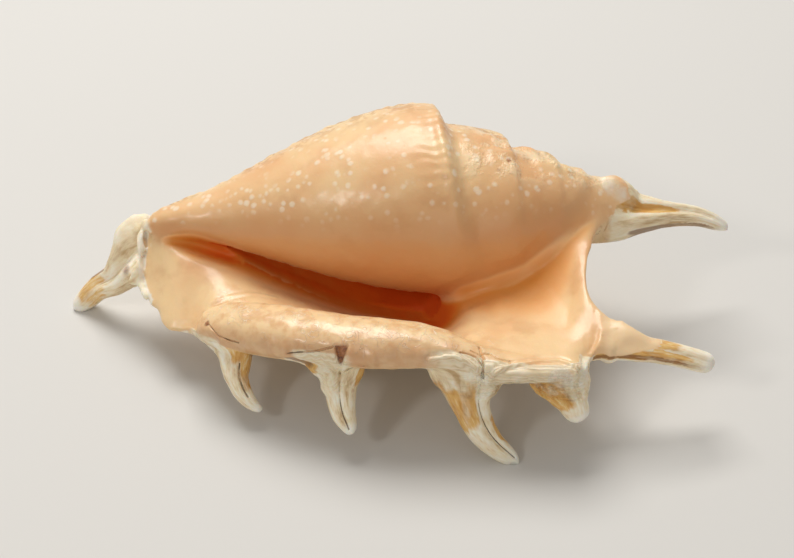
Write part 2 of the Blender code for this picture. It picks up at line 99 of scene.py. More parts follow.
def curve_through(places, knots, values):
    """Cubic pieces through the knots. The slope at a knot is the harmonic mean of the slopes
    beside it, or 0 where they differ in sign, so the curve never overshoots."""
    knots = np.asarray(knots, float)
    values = np.asarray(values, float)
    places = np.asarray(places, float)
    gaps = np.diff(knots)
    tall = (slice(None),) + (None,) * (values.ndim - 1)
    rise = np.diff(values, axis=0) / gaps[tall]
    before, after = rise[:-1], rise[1:]
    agree = before * after > 0
    middle = np.where(agree, 2 * before * after / np.where(agree, before + after, 1), 0)
    slopes = np.concatenate([rise[:1], middle, rise[-1:]])
    i = np.clip(np.searchsorted(knots, places, side="right") - 1, 0, len(knots) - 2)
    step = gaps[i]
    t = np.clip((places - knots[i]) / step, 0, 1)
    if values.ndim > 1:
        step = step[..., None]
        t = t[..., None]
    start = (1 + 2 * t) * (1 - t) ** 2 * values[i] + t * (1 - t) ** 2 * step * slopes[i]
    end = t * t * (3 - 2 * t) * values[i + 1] + t * t * (t - 1) * step * slopes[i + 1]
    return start + end


def unit(vectors):
    """Each vector over its own length."""
    return vectors / np.maximum(np.linalg.norm(vectors, axis=-1, keepdims=True), 1e-12)


SINES = 9


def waves(points, size, seed, octaves=3):
    """Uneven height, about -1 to 1: sines in random directions, each octave twice as fine and
    half as high as the one before it."""
    rng = np.random.default_rng(seed)
    total = np.zeros(len(points))
    for octave in range(octaves):
        way = unit(rng.normal(size=(SINES, 3)))
        length = size / 2**octave * rng.uniform(0.7, 1.5, (SINES, 1))
        phase = rng.uniform(0, 2 * np.pi, SINES)
        sines = np.sin(points @ (2 * np.pi * way / length).T + phase)
        total += sines.sum(1) / math.sqrt(SINES) * 0.5**octave
    return total


print("a soft step at its middle is", ease(0.5, 0, 1))

# %% [markdown]
# ## The coil
#
# The coil is a spiral wound round a nearly level axis. Each turn is 1.46 times as wide as the
# last, so its outer wall needs one formula for the last whorl and one for the stepped cone of
# the spire. Angles go round the axis: 0 faces the lip's side, 90 is up, 270 is down. These
# sizes are the same as in the solid, so the fine surface lies where the solid does.

# %% Sizes of the coil
FRONT_X = -0.056
APEX_X = 0.0556
AXIS_Y = -0.004
AXIS_Z = 0.0289
AXIS_SLOPE = 0.04
WHORL_RADIUS = 0.0233
WHORL_ANGLE = 140.0
WHORL_GROWTH = 1.46
WALL = 0.0023
LEDGE_ANGLE = 288.0
LAST_ANGLE = 300.0
LEDGE_HALF_TURN = 4.0
LEDGE_SLOPE = 30.0
LEDGE_SLOPE_X = (0.007, 0.014)
SHOULDER_TO_APEX = 0.0486
SPIRE_CONE = 0.497
STEP_DEPTH = 0.165
STEP_LENGTH = 0.11
STEP_SINK = 0.0008
STEP_SINK_TO_APEX = (0.004, 0.014)
TIP_LENGTH = 0.009
TIP_SHARE = 0.92
SHOULDER_SOFT = 0.0004
SHOULDER_FALL = 0.0016
SHOULDER_CALLUS = 0.0022
CALLUS_ABOVE = (125, 75)
CALLUS_BEHIND = (-100, -40)
CALLUS_AT_MOUTH = (235, 290)
CALLUS_SHARE = 0.955
CALLUS_DIP = 0.02
CALLUS_DIP_TO_APEX = (0.030, 0.044)
CALLUS_PAD = 0.0034
CALLUS_PAD_ANGLES = (115, 20)
CALLUS_PAD_START_X = (0.014, 0.027)
CALLUS_PAD_END_X = (0.052, 0.034)
SHOULDER_ANGLES = (-90, -60, 0, 90, 140, 180, 230, 270, 300)
SHOULDER_X = (0.0185, 0.0175, 0.0147, 0.0094, 0.0068, 0.0060, 0.0070, 0.0095, 0.0110)
BODY_PLACES = (0, 0.05, 0.10, 0.16, 0.25, 0.36, 0.47, 0.58, 0.69, 0.79, 0.86, 0.93, 1)
BODY_SHARES = (0.09, 0.145, 0.185, 0.23, 0.31, 0.455, 0.605, 0.745, 0.86, 0.94, 0.98, 1, 0.985)
KNOBS = (
    (148, -0.0030, 0.0010, 11, 0.0045),
    (186, -0.0025, 0.0016, 11, 0.0045),
    (222, -0.0015, 0.0022, 12, 0.0050),
    (262, 0.0, 0.0031, 15, 0.0060),
)


# %% Radius of the coil's wall
def growth(angle):
    """Size of the spiral: the whorl's growth to the power of the turns since WHORL_ANGLE."""
    return WHORL_GROWTH ** ((angle - WHORL_ANGLE) / 360)


def callus_cover(angle):
    """1 where smooth callus covers the steps: on the side facing the lip, and by the mouth."""
    facing_lip = ease(angle, *CALLUS_ABOVE) * ease(angle, *CALLUS_BEHIND)
    return facing_lip + ease(angle, *CALLUS_AT_MOUTH)


def spire_step(phase):
    """Share of the cone's radius: 1 at each shoulder, less just past it, then rising again."""
    p = phase - np.floor(phase)
    fall = 1 - STEP_DEPTH * ease(p, 0, STEP_LENGTH)
    climb = 1 - STEP_DEPTH * (1 - p) / (1 - STEP_LENGTH)
    return np.where(p < STEP_LENGTH, fall, climb)


def spire_phase(angle, x):
    """Turns of the spiral between the last shoulder and x: 0 at a shoulder, 1 at the next."""
    shoulder_x = curve_through(angle, SHOULDER_ANGLES, SHOULDER_X)
    to_apex = np.maximum(APEX_X - x, 0)
    first_step = APEX_X - shoulder_x
    next_step = SHOULDER_TO_APEX * growth(angle) / WHORL_GROWTH
    first_phase = np.clip((first_step - to_apex) / (first_step - next_step), 0, 0.999)
    later_phase = np.log(np.maximum(to_apex, 1e-6) / next_step) / -math.log(WHORL_GROWTH)
    return np.where(to_apex > next_step, first_phase, np.maximum(later_phase, 0) + 1)


def coil_radius(angle, x):
    """Radius of the outer wall: the last whorl's profile, then a stepped cone past the shoulder,
    the two blended across the shoulder."""
    shoulder_x = curve_through(angle, SHOULDER_ANGLES, SHOULDER_X)
    to_apex = np.maximum(APEX_X - x, 0)
    cover = callus_cover(angle)
    steps = np.where(to_apex < TIP_LENGTH, TIP_SHARE, spire_step(spire_phase(angle, x)))
    smooth_side = CALLUS_SHARE - CALLUS_DIP * ease(to_apex, *CALLUS_DIP_TO_APEX)
    cone = SPIRE_CONE * to_apex * (steps * (1 - cover) + smooth_side * cover)
    cone -= STEP_SINK * ease(to_apex, *STEP_SINK_TO_APEX) * (1 - cover)
    swelling = CALLUS_PAD * cover * ease(angle, *CALLUS_PAD_ANGLES)
    cone += swelling * between(x, CALLUS_PAD_START_X, CALLUS_PAD_END_X)
    along = np.clip((x - FRONT_X) / (shoulder_x - FRONT_X), 0, 1)
    body = WHORL_RADIUS * growth(angle) * curve_through(along, BODY_PLACES, BODY_SHARES)
    soft = SHOULDER_SOFT + SHOULDER_CALLUS * cover
    past = ease(x, shoulder_x - soft, shoulder_x + SHOULDER_FALL + soft)
    return body * (1 - past) + cone * past


def knob_height(angle, x):
    """Rounded knobs along the shoulder: bells in angle times bells along X."""
    height = 0
    for place, offset, rise, wide, long in KNOBS:
        middle = curve_through(np.array(float(place)), SHOULDER_ANGLES, SHOULDER_X) + offset
        height = height + rise * mound(angle, place, wide) * mound(x, middle, long)
    return height


def coil_point(angle, x, radius):
    """Place at a radius from the coil's axis, which rises and turns back a little along X."""
    turn = np.radians(angle)
    y = AXIS_Y + AXIS_SLOPE * x - radius * np.cos(turn)
    z = AXIS_Z + AXIS_SLOPE * x + radius * np.sin(turn)
    return np.stack([x + 0 * radius, y, z], -1)


print("the last whorl is", round(2000 * float(coil_radius(90.0, 0.0)), 1), "mm wide at the top")

# %% [markdown]
# ## From grids to closed meshes
#
# Each form below is a grid of points: rings round something, set along it. One function turns
# such a grid into a closed mesh, with quads between the rings and a fan at each end.

# %% A closed mesh from rings
workings = bpy.data.collections.new("workings")
bpy.context.scene.collection.children.link(workings)


def tube_object(name, grid):
    """Make a closed mesh from rings: grid[round, along] of points, its ends closed to a point."""
    rounds, along = grid.shape[:2]
    i = np.arange(rounds)[:, None]
    j = np.arange(along - 1)[None, :]
    first = i * along + j
    beside = (i + 1) % rounds * along + j
    quads = np.stack([first, beside, beside + 1, first + 1], -1).reshape(-1, 4)
    ring = np.arange(rounds)
    next_ring = (ring + 1) % rounds
    start, end = rounds * along, rounds * along + 1
    start_fan = np.stack([next_ring * along, ring * along, 0 * ring + start], -1)
    last = along - 1
    end_fan = np.stack([ring * along + last, next_ring * along + last, 0 * ring + end], -1)
    points = np.vstack([grid.reshape(-1, 3), grid[:, 0].mean(0), grid[:, -1].mean(0)])
    mesh = bpy.data.meshes.new(name)
    mesh.from_pydata(points, [], quads.tolist() + start_fan.tolist() + end_fan.tolist())
    turned = bmesh.new()
    turned.from_mesh(mesh)
    bmesh.ops.recalc_face_normals(turned, faces=turned.faces)
    turned.to_mesh(mesh)
    turned.free()
    obj = bpy.data.objects.new(name, mesh)
    workings.objects.link(obj)
    return obj


# %% The coil's surface
FRONT_ROUND = 0.0045
RIDGE_FADE = (10, 62)
RIDGE_RETURN = (225, 185)
RIDGE_LIFT = 0.0009
RIDGE_WIDTH = 0.0012
RIDGE_GROOVE = 0.0007
BURIED_SHARE = 0.34
MEAN_STEP = 1 - STEP_DEPTH / 2
TIP_X = 0.0530
COIL_ROUNDS = 300
COIL_STATIONS = 280


def callus_ridges(angle, x):
    """Ridges that the callus half buries: a share of each spire step, and at the last shoulder a
    lip with a groove past it, all fading towards the side that faces the outer lip."""
    shoulder_x = curve_through(angle, SHOULDER_ANGLES, SHOULDER_X)
    buried = np.clip(callus_cover(angle), 0, 1)
    buried = buried * between(angle, RIDGE_FADE, RIDGE_RETURN)
    past = ease(x, shoulder_x, shoulder_x + 2 * RIDGE_WIDTH)
    cone = SPIRE_CONE * np.maximum(APEX_X - x, 0)
    steps = cone * (spire_step(spire_phase(angle, x)) - MEAN_STEP)
    rise = RIDGE_LIFT * mound(x, shoulder_x - RIDGE_WIDTH / 2, RIDGE_WIDTH)
    dip = RIDGE_GROOVE * mound(x, shoulder_x + 2 * RIDGE_WIDTH, 1.4 * RIDGE_WIDTH)
    return buried * (BURIED_SHARE * steps * past + rise - dip)


def coil():
    """Radius(angle, x) round the axis, rounded off at the front. Past the ledge it drops to the
    whorl inside, where the mouth opens."""
    angles = np.linspace(0, 360, COIL_ROUNDS, endpoint=False)[:, None]
    x = np.linspace(FRONT_X, TIP_X, COIL_STATIONS)[None, :]
    outer = coil_radius(np.minimum(angles, LAST_ANGLE) + 0 * x, x + 0 * angles)
    outer = outer + knob_height(angles, x) + callus_ridges(angles + 0 * x, x + 0 * angles)
    inner = coil_radius(np.where(angles > 180, angles - 360, angles) + 0 * x, x + 0 * angles)
    slope = LEDGE_SLOPE * ease(x, *LEDGE_SLOPE_X)
    drop = ease(angles, LEDGE_ANGLE - LEDGE_HALF_TURN - slope, LEDGE_ANGLE + LEDGE_HALF_TURN)
    radius = outer * (1 - drop) + inner * drop
    dome = np.sqrt(1 - (1 - np.clip((x - FRONT_X) / FRONT_ROUND, 0, 1)) ** 2)
    return tube_object("coil", coil_point(angles, x, np.maximum(radius * dome, 0.00002)))


coil_piece = coil()
print("coil:", len(coil_piece.data.polygons), "faces")

# %% [markdown]
# ## The hollow in the mouth
#
# The snail lived between the outer wall and the whorl inside it. That space is another loft, cut
# out of the coil with a Boolean: it starts blind at the top and opens at the mouth.

# %% Cut the hollow
HOLLOW_ANGLES = (60, 140, 220, 300)
HOLLOW_FRONT = (-0.008, -0.028, -0.044, -0.052)
HOLLOW_BACK = (0.004, 0.003, 0.0035, 0.011)
HOLLOW_BLIND = 0.12
HOLLOW_LEAST = 0.0003
HOLLOW_SQUARENESS = 0.7
MOUTH_LIFT = 0.005
HOLLOW_ROUNDS = 64
HOLLOW_STATIONS = 90


def hollow():
    """An oval ring between the inner whorl and the outer wall less its thickness, carried from
    the blind end to the mouth."""
    share = np.linspace(0, 1, HOLLOW_STATIONS)
    angle = HOLLOW_ANGLES[0] + (HOLLOW_ANGLES[-1] - HOLLOW_ANGLES[0]) * share
    front = curve_through(angle, HOLLOW_ANGLES, HOLLOW_FRONT)
    back = curve_through(angle, HOLLOW_ANGLES, HOLLOW_BACK)
    blind = np.sqrt(1 - (1 - np.clip(share / HOLLOW_BLIND, 0, 1)) ** 2)
    blind = np.maximum(blind, HOLLOW_BLIND**2)
    around = np.linspace(0, 2 * np.pi, HOLLOW_ROUNDS, endpoint=False)[:, None]
    x = (front + back) / 2 + (back - front) / 2 * blind * np.cos(around)
    angles = angle + 0 * x
    inner = coil_radius(angles - 360, x)
    lift = MOUTH_LIFT * ease(angles, LEDGE_ANGLE - LEDGE_HALF_TURN, LEDGE_ANGLE + LEDGE_HALF_TURN)
    outer = coil_radius(np.minimum(angles, LAST_ANGLE), x) - WALL + lift
    outer = np.maximum(outer, inner + HOLLOW_LEAST)
    height = np.sign(np.sin(around)) * np.abs(np.sin(around)) ** HOLLOW_SQUARENESS
    radius = (outer + inner) / 2 + (outer - inner) / 2 * blind * height
    return tube_object("hollow", coil_point(angles, x, radius))


cut = coil_piece.modifiers.new("Mouth", "BOOLEAN")
cut.operation = "DIFFERENCE"
cut.object = hollow()
print("the hollow is cut from the coil")

# %% [markdown]
# ## The outer lip
#
# The lip is a thin sheet that leaves the coil by the mouth and flares out to a wavy edge. It is
# spanned by cubic curves: each leaves the coil at its own angle and arrives at the edge at
# another. Near the edge the snail thickened it into a rolled pad, which carries the lip's weight
# over the spines.

# %% Sizes of the lip
LIP_EDGE = (
    (-0.0550, 0.0000, 0.0205),
    (-0.0565, -0.0075, 0.0170),
    (-0.0550, -0.0150, 0.0145),
    (-0.0520, -0.0225, 0.0125),
    (-0.0500, -0.0265, 0.0120),
    (-0.0450, -0.0270, 0.0125),
    (-0.0400, -0.0335, 0.0145),
    (-0.0295, -0.0400, 0.0175),
    (-0.0170, -0.0455, 0.0200),
    (-0.0045, -0.0490, 0.0215),
    (0.0065, -0.0495, 0.0220),
    (0.0190, -0.0520, 0.0220),
    (0.0305, -0.0530, 0.0225),
    (0.0360, -0.0525, 0.0225),
    (0.0390, -0.0465, 0.0225),
    (0.0402, -0.0415, 0.0236),
    (0.0408, -0.0365, 0.0256),
    (0.0405, -0.0315, 0.0278),
    (0.0410, -0.0265, 0.0290),
    (0.0430, -0.0205, 0.0300),
    (0.0468, -0.0100, 0.0310),
)
# One row for some of those points: point, root X, root angle, root depth as a share of the
# coil's radius, leaving angle and reach, arriving angle and reach.
LIP_SECTIONS = (
    (0, -0.053, 285, 0.50, 20, 0.30, 10, 0.20),
    (2, -0.049, 282, 0.80, 18, 0.35, 25, 0.30),
    (5, -0.040, 280, 0.97, 14, 0.40, 25, 0.30),
    (7, -0.028, 279, 1.00, 11, 0.42, 22, 0.31),
    (8, -0.017, 278, 1.00, 10, 0.42, 25, 0.32),
    (9, -0.006, 278, 1.00, 8, 0.42, 25, 0.32),
    (10, 0.004, 279, 1.00, 8, 0.42, 24, 0.30),
    (11, 0.014, 290, 0.93, 6, 0.38, 14, 0.28),
    (12, 0.024, 302, 0.84, 0, 0.36, 4, 0.25),
    (14, 0.030, 318, 0.75, -6, 0.34, 0, 0.25),
    (16, 0.034, 336, 0.72, -12, 0.34, 0, 0.25),
    (18, 0.038, 360, 0.85, -35, 0.34, -2, 0.30),
    (20, 0.045, 392, 0.90, -50, 0.30, -5, 0.30),
)
PAD_POINTS = (0, 5.4, 5.9, 6.6, 7.6, 8.5, 9.5, 10.3, 11, 12, 20)
PAD_WIDTHS = (0.001, 0.001, 0.008, 0.0115, 0.013, 0.0125, 0.012, 0.010, 0.0075, 0.005, 0.004)
PAD_HEIGHTS = (0, 0, 0.0022, 0.0036, 0.0042, 0.0042, 0.0036, 0.0026, 0.0010, 0.0002, 0)
PAD_FLATNESS = 2.4
PAD_SWELL = 0.62
EDGE_ROUND = 0.0022
LIP_END = 0.02
THICKER = 0.0006
THICKER_FROM_EDGE = (0.018, 0.005)
THICKER_FROM_POINT = (4, 7)
THICKER_TO_POINT = (16, 14)
THINNER = 0.25
THINNER_POINTS = (14, 20)
LAYERED = 0.0011
LAYERED_POINTS = (10.1, 10.9)
LAYERED_END_POINTS = (14.2, 13.4)
LAYERED_FROM_EDGE = (0.0050, 0.0020)
LIP_POSTS = 420
LIP_STATIONS = 100

lip_steps = np.linalg.norm(np.diff(LIP_EDGE, axis=0), axis=1)
LIP_PLACES = np.concatenate([[0], np.cumsum(lip_steps)]) / lip_steps.sum()
print("the lip's edge is", round(lip_steps.sum() * 1000), "mm long")


# %% The lip's surface
def lip_sheet(along, out):
    """Middle of the lip, B(out) of a cubic curve from the coil (out = 0) to the edge (out = 1):
    (1-t)^3 root + 3 t (1-t)^2 first + 3 t^2 (1-t) second + t^3 edge."""
    rows = np.array(LIP_SECTIONS)
    at = LIP_PLACES[rows[:, 0].astype(int)]
    root_x, root_angle, depth, leave, reach, arrive, hold = (
        curve_through(along, at, rows[:, k]) for k in range(1, 8)
    )
    edge = curve_through(along, LIP_PLACES, LIP_EDGE)
    outer = coil_radius(np.minimum(root_angle, LAST_ANGLE), root_x)
    inner = coil_radius(root_angle - 360, root_x)
    inward = ease(root_angle, LEDGE_ANGLE - LEDGE_HALF_TURN, LAST_ANGLE)
    radius = (outer * (1 - inward) + inner * inward - WALL / 2) * depth
    root = coil_point(root_angle, root_x, radius)
    length = np.linalg.norm(edge - root, axis=-1)
    leave = np.radians(leave)
    arrive = np.radians(arrive)
    across = (edge - root)[..., 0]
    way_out = np.stack([across, -np.cos(leave) * length, np.sin(leave) * length], -1)
    way_in = np.stack([-across, np.cos(arrive) * length, np.sin(arrive) * length], -1)
    first = root + way_out * reach[..., None]
    second = edge + way_in * hold[..., None]
    t = out[..., None]
    near = (1 - t) ** 3 * root + 3 * t * (1 - t) ** 2 * first
    return near + 3 * t * t * (1 - t) * second + t**3 * edge


def lip_point_number(along):
    """Number of the lip's edge point at a share of its length, with parts of a step between."""
    return np.interp(along, LIP_PLACES, np.arange(len(LIP_EDGE)))


def lip():
    """Middle sheet plus and minus its thickness along the normal, with the pad on top: height
    times (1 - |2 a - 1|^2.4)^0.62, where a goes from 0 to 1 across the pad."""
    along = np.linspace(0, 1, LIP_POSTS)[:, None]
    out = np.sin(np.linspace(0, np.pi / 2, LIP_STATIONS))[None, :]
    along, out = np.broadcast_arrays(along, out)
    middle = lip_sheet(along, out)
    normal = unit(np.cross(np.gradient(middle, axis=1), np.gradient(middle, axis=0)))
    steps = np.linalg.norm(np.diff(middle, axis=1), axis=-1)
    from_edge = np.cumsum(steps[:, ::-1], axis=1)[:, ::-1]
    from_edge = np.concatenate([from_edge, np.zeros((LIP_POSTS, 1))], axis=1)
    point = lip_point_number(along)
    ends = np.sqrt(np.clip(np.minimum(along, 1 - along) / LIP_END, 0, 1))
    rounded = np.sqrt(1 - np.clip(1 - from_edge / EDGE_ROUND, 0, 1) ** 2)
    core = WALL / 2 * (1 - THINNER * ease(point, *THINNER_POINTS))
    width = curve_through(point, PAD_POINTS, PAD_WIDTHS)
    height = curve_through(point, PAD_POINTS, PAD_HEIGHTS)
    across = np.clip(from_edge / width, 0, 1)
    pad = height * np.clip(1 - np.abs(2 * across - 1) ** PAD_FLATNESS, 0, 1) ** PAD_SWELL
    near_spines = between(point, THICKER_FROM_POINT, THICKER_TO_POINT)
    thicker = THICKER * ease(from_edge, *THICKER_FROM_EDGE) * near_spines
    layered = between(point, LAYERED_POINTS, LAYERED_END_POINTS)
    layered = LAYERED * ease(from_edge, *LAYERED_FROM_EDGE) * layered
    above = (core * rounded + pad) * ends
    below = (core + thicker + layered) * rounded * ends
    top = middle + normal * above[..., None]
    bottom = middle - normal * below[..., None]
    ring = np.concatenate([top, bottom[:, ::-1]], axis=1)
    return tube_object("lip", np.swapaxes(ring, 0, 1))


lip_piece = lip()
print("lip:", len(lip_piece.data.polygons), "faces")

# %% [markdown]
# ## The spines
#
# A spine starts as a fold in the lip's edge that the snail then filled, so it is a tapered oval
# tube with a seam along it where the two sides met. Each is a path of a few points with half its
# width and half its depth at each, and the seam is a shallow groove.

# %% Sizes of the spines
SPINES = {
    "hind": (
        (0.0280, -0.0050, 0.0290, 0.0060, 0.0050),
        (0.0400, -0.0050, 0.0284, 0.0068, 0.0053),
        (0.0476, -0.0048, 0.0282, 0.0064, 0.0047),
        (0.0535, -0.0045, 0.0280, 0.0045, 0.0036),
        (0.0600, -0.0031, 0.0269, 0.0029, 0.0027),
        (0.0670, -0.0014, 0.0249, 0.0022, 0.0022),
        (0.0720, -0.0009, 0.0225, 0.0016, 0.0015),
        (0.0742, -0.0013, 0.0213, 0.0009, 0.0009),
    ),
    "second": (
        (0.0300, -0.0380, 0.0208, 0.0030, 0.0008),
        (0.0390, -0.0408, 0.0214, 0.0034, 0.0019),
        (0.0484, -0.0414, 0.0208, 0.0032, 0.0024),
        (0.0540, -0.0417, 0.0199, 0.0027, 0.0023),
        (0.0593, -0.0415, 0.0183, 0.0025, 0.0022),
        (0.0635, -0.0414, 0.0168, 0.0024, 0.0021),
        (0.0661, -0.0416, 0.0158, 0.0018, 0.0017),
    ),
    "flap": (
        (0.0330, -0.0395, 0.0205, 0.0018, 0.0006),
        (0.0400, -0.0392, 0.0227, 0.0034, 0.0009),
        (0.0455, -0.0400, 0.0230, 0.0024, 0.0011),
        (0.0498, -0.0406, 0.0226, 0.0008, 0.0009),
    ),
    "third": (
        (0.0300, -0.0400, 0.0200, 0.0034, 0.0008),
        (0.0322, -0.0446, 0.0200, 0.0068, 0.0018),
        (0.0333, -0.0484, 0.0188, 0.0064, 0.0028),
        (0.0346, -0.0506, 0.0169, 0.0046, 0.0029),
        (0.0359, -0.0525, 0.0150, 0.0033, 0.0027),
        (0.0369, -0.0538, 0.0133, 0.0026, 0.0023),
        (0.0375, -0.0548, 0.0122, 0.0015, 0.0016),
    ),
    "fourth": (
        (0.0135, -0.0390, 0.0202, 0.0066, 0.0008),
        (0.0144, -0.0455, 0.0206, 0.0092, 0.0018),
        (0.0145, -0.0484, 0.0180, 0.0073, 0.0029),
        (0.0148, -0.0500, 0.0150, 0.0049, 0.0030),
        (0.0156, -0.0511, 0.0118, 0.0037, 0.0028),
        (0.0172, -0.0524, 0.0082, 0.0032, 0.0025),
        (0.0198, -0.0535, 0.0048, 0.0026, 0.0021),
        (0.0229, -0.0546, 0.0025, 0.0020, 0.0016),
        (0.0252, -0.0557, 0.0012, 0.0010, 0.0010),
    ),
    "fifth": (
        (-0.0120, -0.0360, 0.0202, 0.0052, 0.0008),
        (-0.0120, -0.0425, 0.0199, 0.0066, 0.0018),
        (-0.0114, -0.0455, 0.0171, 0.0047, 0.0027),
        (-0.0117, -0.0469, 0.0148, 0.0036, 0.0026),
        (-0.0115, -0.0488, 0.0125, 0.0031, 0.0024),
        (-0.0110, -0.0506, 0.0105, 0.0026, 0.0020),
        (-0.0101, -0.0523, 0.0090, 0.0019, 0.0015),
        (-0.0094, -0.0540, 0.0077, 0.0010, 0.0009),
    ),
    "sixth": (
        (-0.0330, -0.0270, 0.0178, 0.0040, 0.0008),
        (-0.0340, -0.0325, 0.0156, 0.0046, 0.0018),
        (-0.0340, -0.0355, 0.0133, 0.0036, 0.0025),
        (-0.0340, -0.0382, 0.0112, 0.0028, 0.0024),
        (-0.0332, -0.0404, 0.0093, 0.0023, 0.0021),
        (-0.0318, -0.0421, 0.0075, 0.0018, 0.0018),
        (-0.0301, -0.0432, 0.0062, 0.0013, 0.0013),
        (-0.0284, -0.0440, 0.0055, 0.0008, 0.0008),
    ),
    "canal": (
        (-0.0440, -0.0055, 0.0205, 0.0045, 0.0040),
        (-0.0514, -0.0055, 0.0195, 0.0052, 0.0044),
        (-0.0564, -0.0067, 0.0185, 0.0058, 0.0042),
        (-0.0594, -0.0073, 0.0162, 0.0053, 0.0038),
        (-0.0630, -0.0070, 0.0120, 0.0038, 0.0030),
        (-0.0674, -0.0050, 0.0078, 0.0029, 0.0026),
        (-0.0709, -0.0040, 0.0036, 0.0024, 0.0022),
        (-0.0738, -0.0046, 0.0011, 0.0016, 0.0016),
    ),
}
# Each spine's seam: depth as a share of its radius, place round it in degrees, and width.
SEAMS = {
    "hind": (0.45, 92, 16),
    "second": (0.25, 70, 14),
    "flap": (0.0, 90, 14),
    "third": (0.10, 90, 14),
    "fourth": (0.30, 118, 11),
    "fifth": (0.35, 85, 13),
    "sixth": (0.20, 110, 14),
    "canal": (0.78, 66, 32),
}
SEAM_SHARES = (0.10, 0.35)
GUTTER_END = (0.86, 0.60)
CREST = 0.62
CREST_HALF_ANGLE = 17
CREST_START = (0.14, 0.28)
CREST_END = (0.52, 0.28)
SPINE_FACES = {"hind": (0, -0.50, 0.87), "second": (0, -0.40, 0.92), "flap": (0, -0.40, 0.92)}
LIP_SPINE_FACE = (0, -0.79, 0.61)
SPINE_ROOT = 0.04
SPINE_TIP = 0.05
SPINE_CROWDING = 1.3
SPINE_STATIONS = 110
SPINE_ROUNDS = 96
print(len(SPINES), "spines and flaps")


# %% The spines' surfaces
def spine_path(name, share):
    """Path, half width, half depth and the two directions across it, at shares of its length."""
    rows = np.array(SPINES[name])
    steps = np.linalg.norm(np.diff(rows[:, :3], axis=0), axis=1)
    places = np.concatenate([[0], np.cumsum(steps)]) / steps.sum()
    path = curve_through(share, places, rows[:, :3])
    ahead = np.gradient(path, axis=0)
    side = unit(np.cross(ahead, SPINE_FACES.get(name, LIP_SPINE_FACE)))
    up = unit(np.cross(side, ahead))
    half_width = curve_through(share, places, rows[:, 3])
    half_depth = curve_through(share, places, rows[:, 4])
    return path, half_width, half_depth, side, up, steps.sum()


def spine(name):
    """Path + half width * cos(around) * side + half depth * sin(around) * up, less the seam's
    bell-shaped notch, and rounded off at both ends. The canal's gutter ends part way, and its
    far wall rises to a crest."""
    share = 1 - (1 - np.linspace(0, 1, SPINE_STATIONS)) ** SPINE_CROWDING
    path, half_width, half_depth, side, up, _ = spine_path(name, share)
    tip = np.sqrt(1 - np.clip((share - 1 + SPINE_TIP) / SPINE_TIP, 0, 1) ** 2)
    root = np.sqrt(np.clip(share / SPINE_ROOT, 0, 1))
    around = np.linspace(0, 360, SPINE_ROUNDS, endpoint=False)[:, None]
    depth, seam_at, seam_width = SEAMS[name]
    off = (around - seam_at + 180) % 360 - 180
    groove = depth * ease(share, *SEAM_SHARES) * mound(off, 0, seam_width)
    if name == "canal":
        groove = groove * ease(share, *GUTTER_END)
        near_top = mound((around + 180) % 360 - 180, 0, CREST_HALF_ANGLE)
        groove = groove - CREST * near_top * between(share, CREST_START, CREST_END)
    notch = 1 - groove
    wide = half_width * tip * root * notch * np.cos(np.radians(around))
    deep = half_depth * tip * root * notch * np.sin(np.radians(around))
    return tube_object(name, path + wide[..., None] * side + deep[..., None] * up)


spine_pieces = [spine(name) for name in SPINES]
print("the spines have", sum(len(piece.data.polygons) for piece in spine_pieces), "faces")

# %% [markdown]
# ## The web, the bead and the knob
#
# Three small forms sit where the snail put down extra callus: a web from the lip's rear corner to
# the second spine, a ragged bead along the lip's front edge, and a knob over the root of the hind
# spine. The web is a thin sheet between two edges. The other two are round beads along a path,
# with a radius that waves make uneven.

# %% Beads along a path
BEAD = (
    (-0.0555, -0.0020, 0.0262, 0.0004),
    (-0.0562, -0.0070, 0.0236, 0.0007),
    (-0.0567, -0.0106, 0.0198, 0.0006),
    (-0.0571, -0.0124, 0.0166, 0.0015),
    (-0.0560, -0.0150, 0.0152, 0.0006),
    (-0.0548, -0.0180, 0.0144, 0.0004),
)
KNOB = (
    (0.0400, -0.0040, 0.0336, 0.0010),
    (0.0430, -0.0036, 0.0332, 0.0027),
    (0.0464, -0.0034, 0.0332, 0.0036),
    (0.0494, -0.0036, 0.0321, 0.0034),
    (0.0520, -0.0038, 0.0302, 0.0022),
    (0.0555, -0.0038, 0.0286, 0.0012),
)
BEAD_STATIONS = 90
BEAD_ROUNDS = 24
BEAD_UNEVEN = 0.5
KNOB_UNEVEN = 0.08
LUMP_SIZE = 0.0036
BEAD_END = 0.06


def rounded_ends(share, length):
    """Square root of the distance to the nearer end over the length that is rounded off."""
    return np.sqrt(np.clip(np.minimum(share, 1 - share) / length, 0.001, 1))


def lumpy_bead(name, rows, uneven):
    """A circle of radius r carried along a path, where r is uneven by a share."""
    rows = np.array(rows)
    share = np.linspace(0, 1, BEAD_STATIONS)
    places = np.linspace(0, 1, len(rows))
    path = curve_through(share, places, rows[:, :3])
    radius = curve_through(share, places, rows[:, 3])
    ahead = np.gradient(path, axis=0)
    side = unit(np.cross(ahead, (1, 0, 0)))
    up = unit(np.cross(side, ahead))
    around = np.linspace(0, 2 * np.pi, BEAD_ROUNDS, endpoint=False)[:, None, None]
    offset = np.cos(around) * side + np.sin(around) * up
    near = (path + 0.001 * offset).reshape(-1, 3)
    lumps = 1 + uneven * waves(near, LUMP_SIZE, 11, 3).reshape(offset.shape[:2])
    ring = radius * lumps * rounded_ends(share, BEAD_END)
    return tube_object(name, path + offset * ring[..., None])


bead_pieces = [lumpy_bead("ragged edge", BEAD, BEAD_UNEVEN), lumpy_bead("knob", KNOB, KNOB_UNEVEN)]
print(len(bead_pieces), "beads")

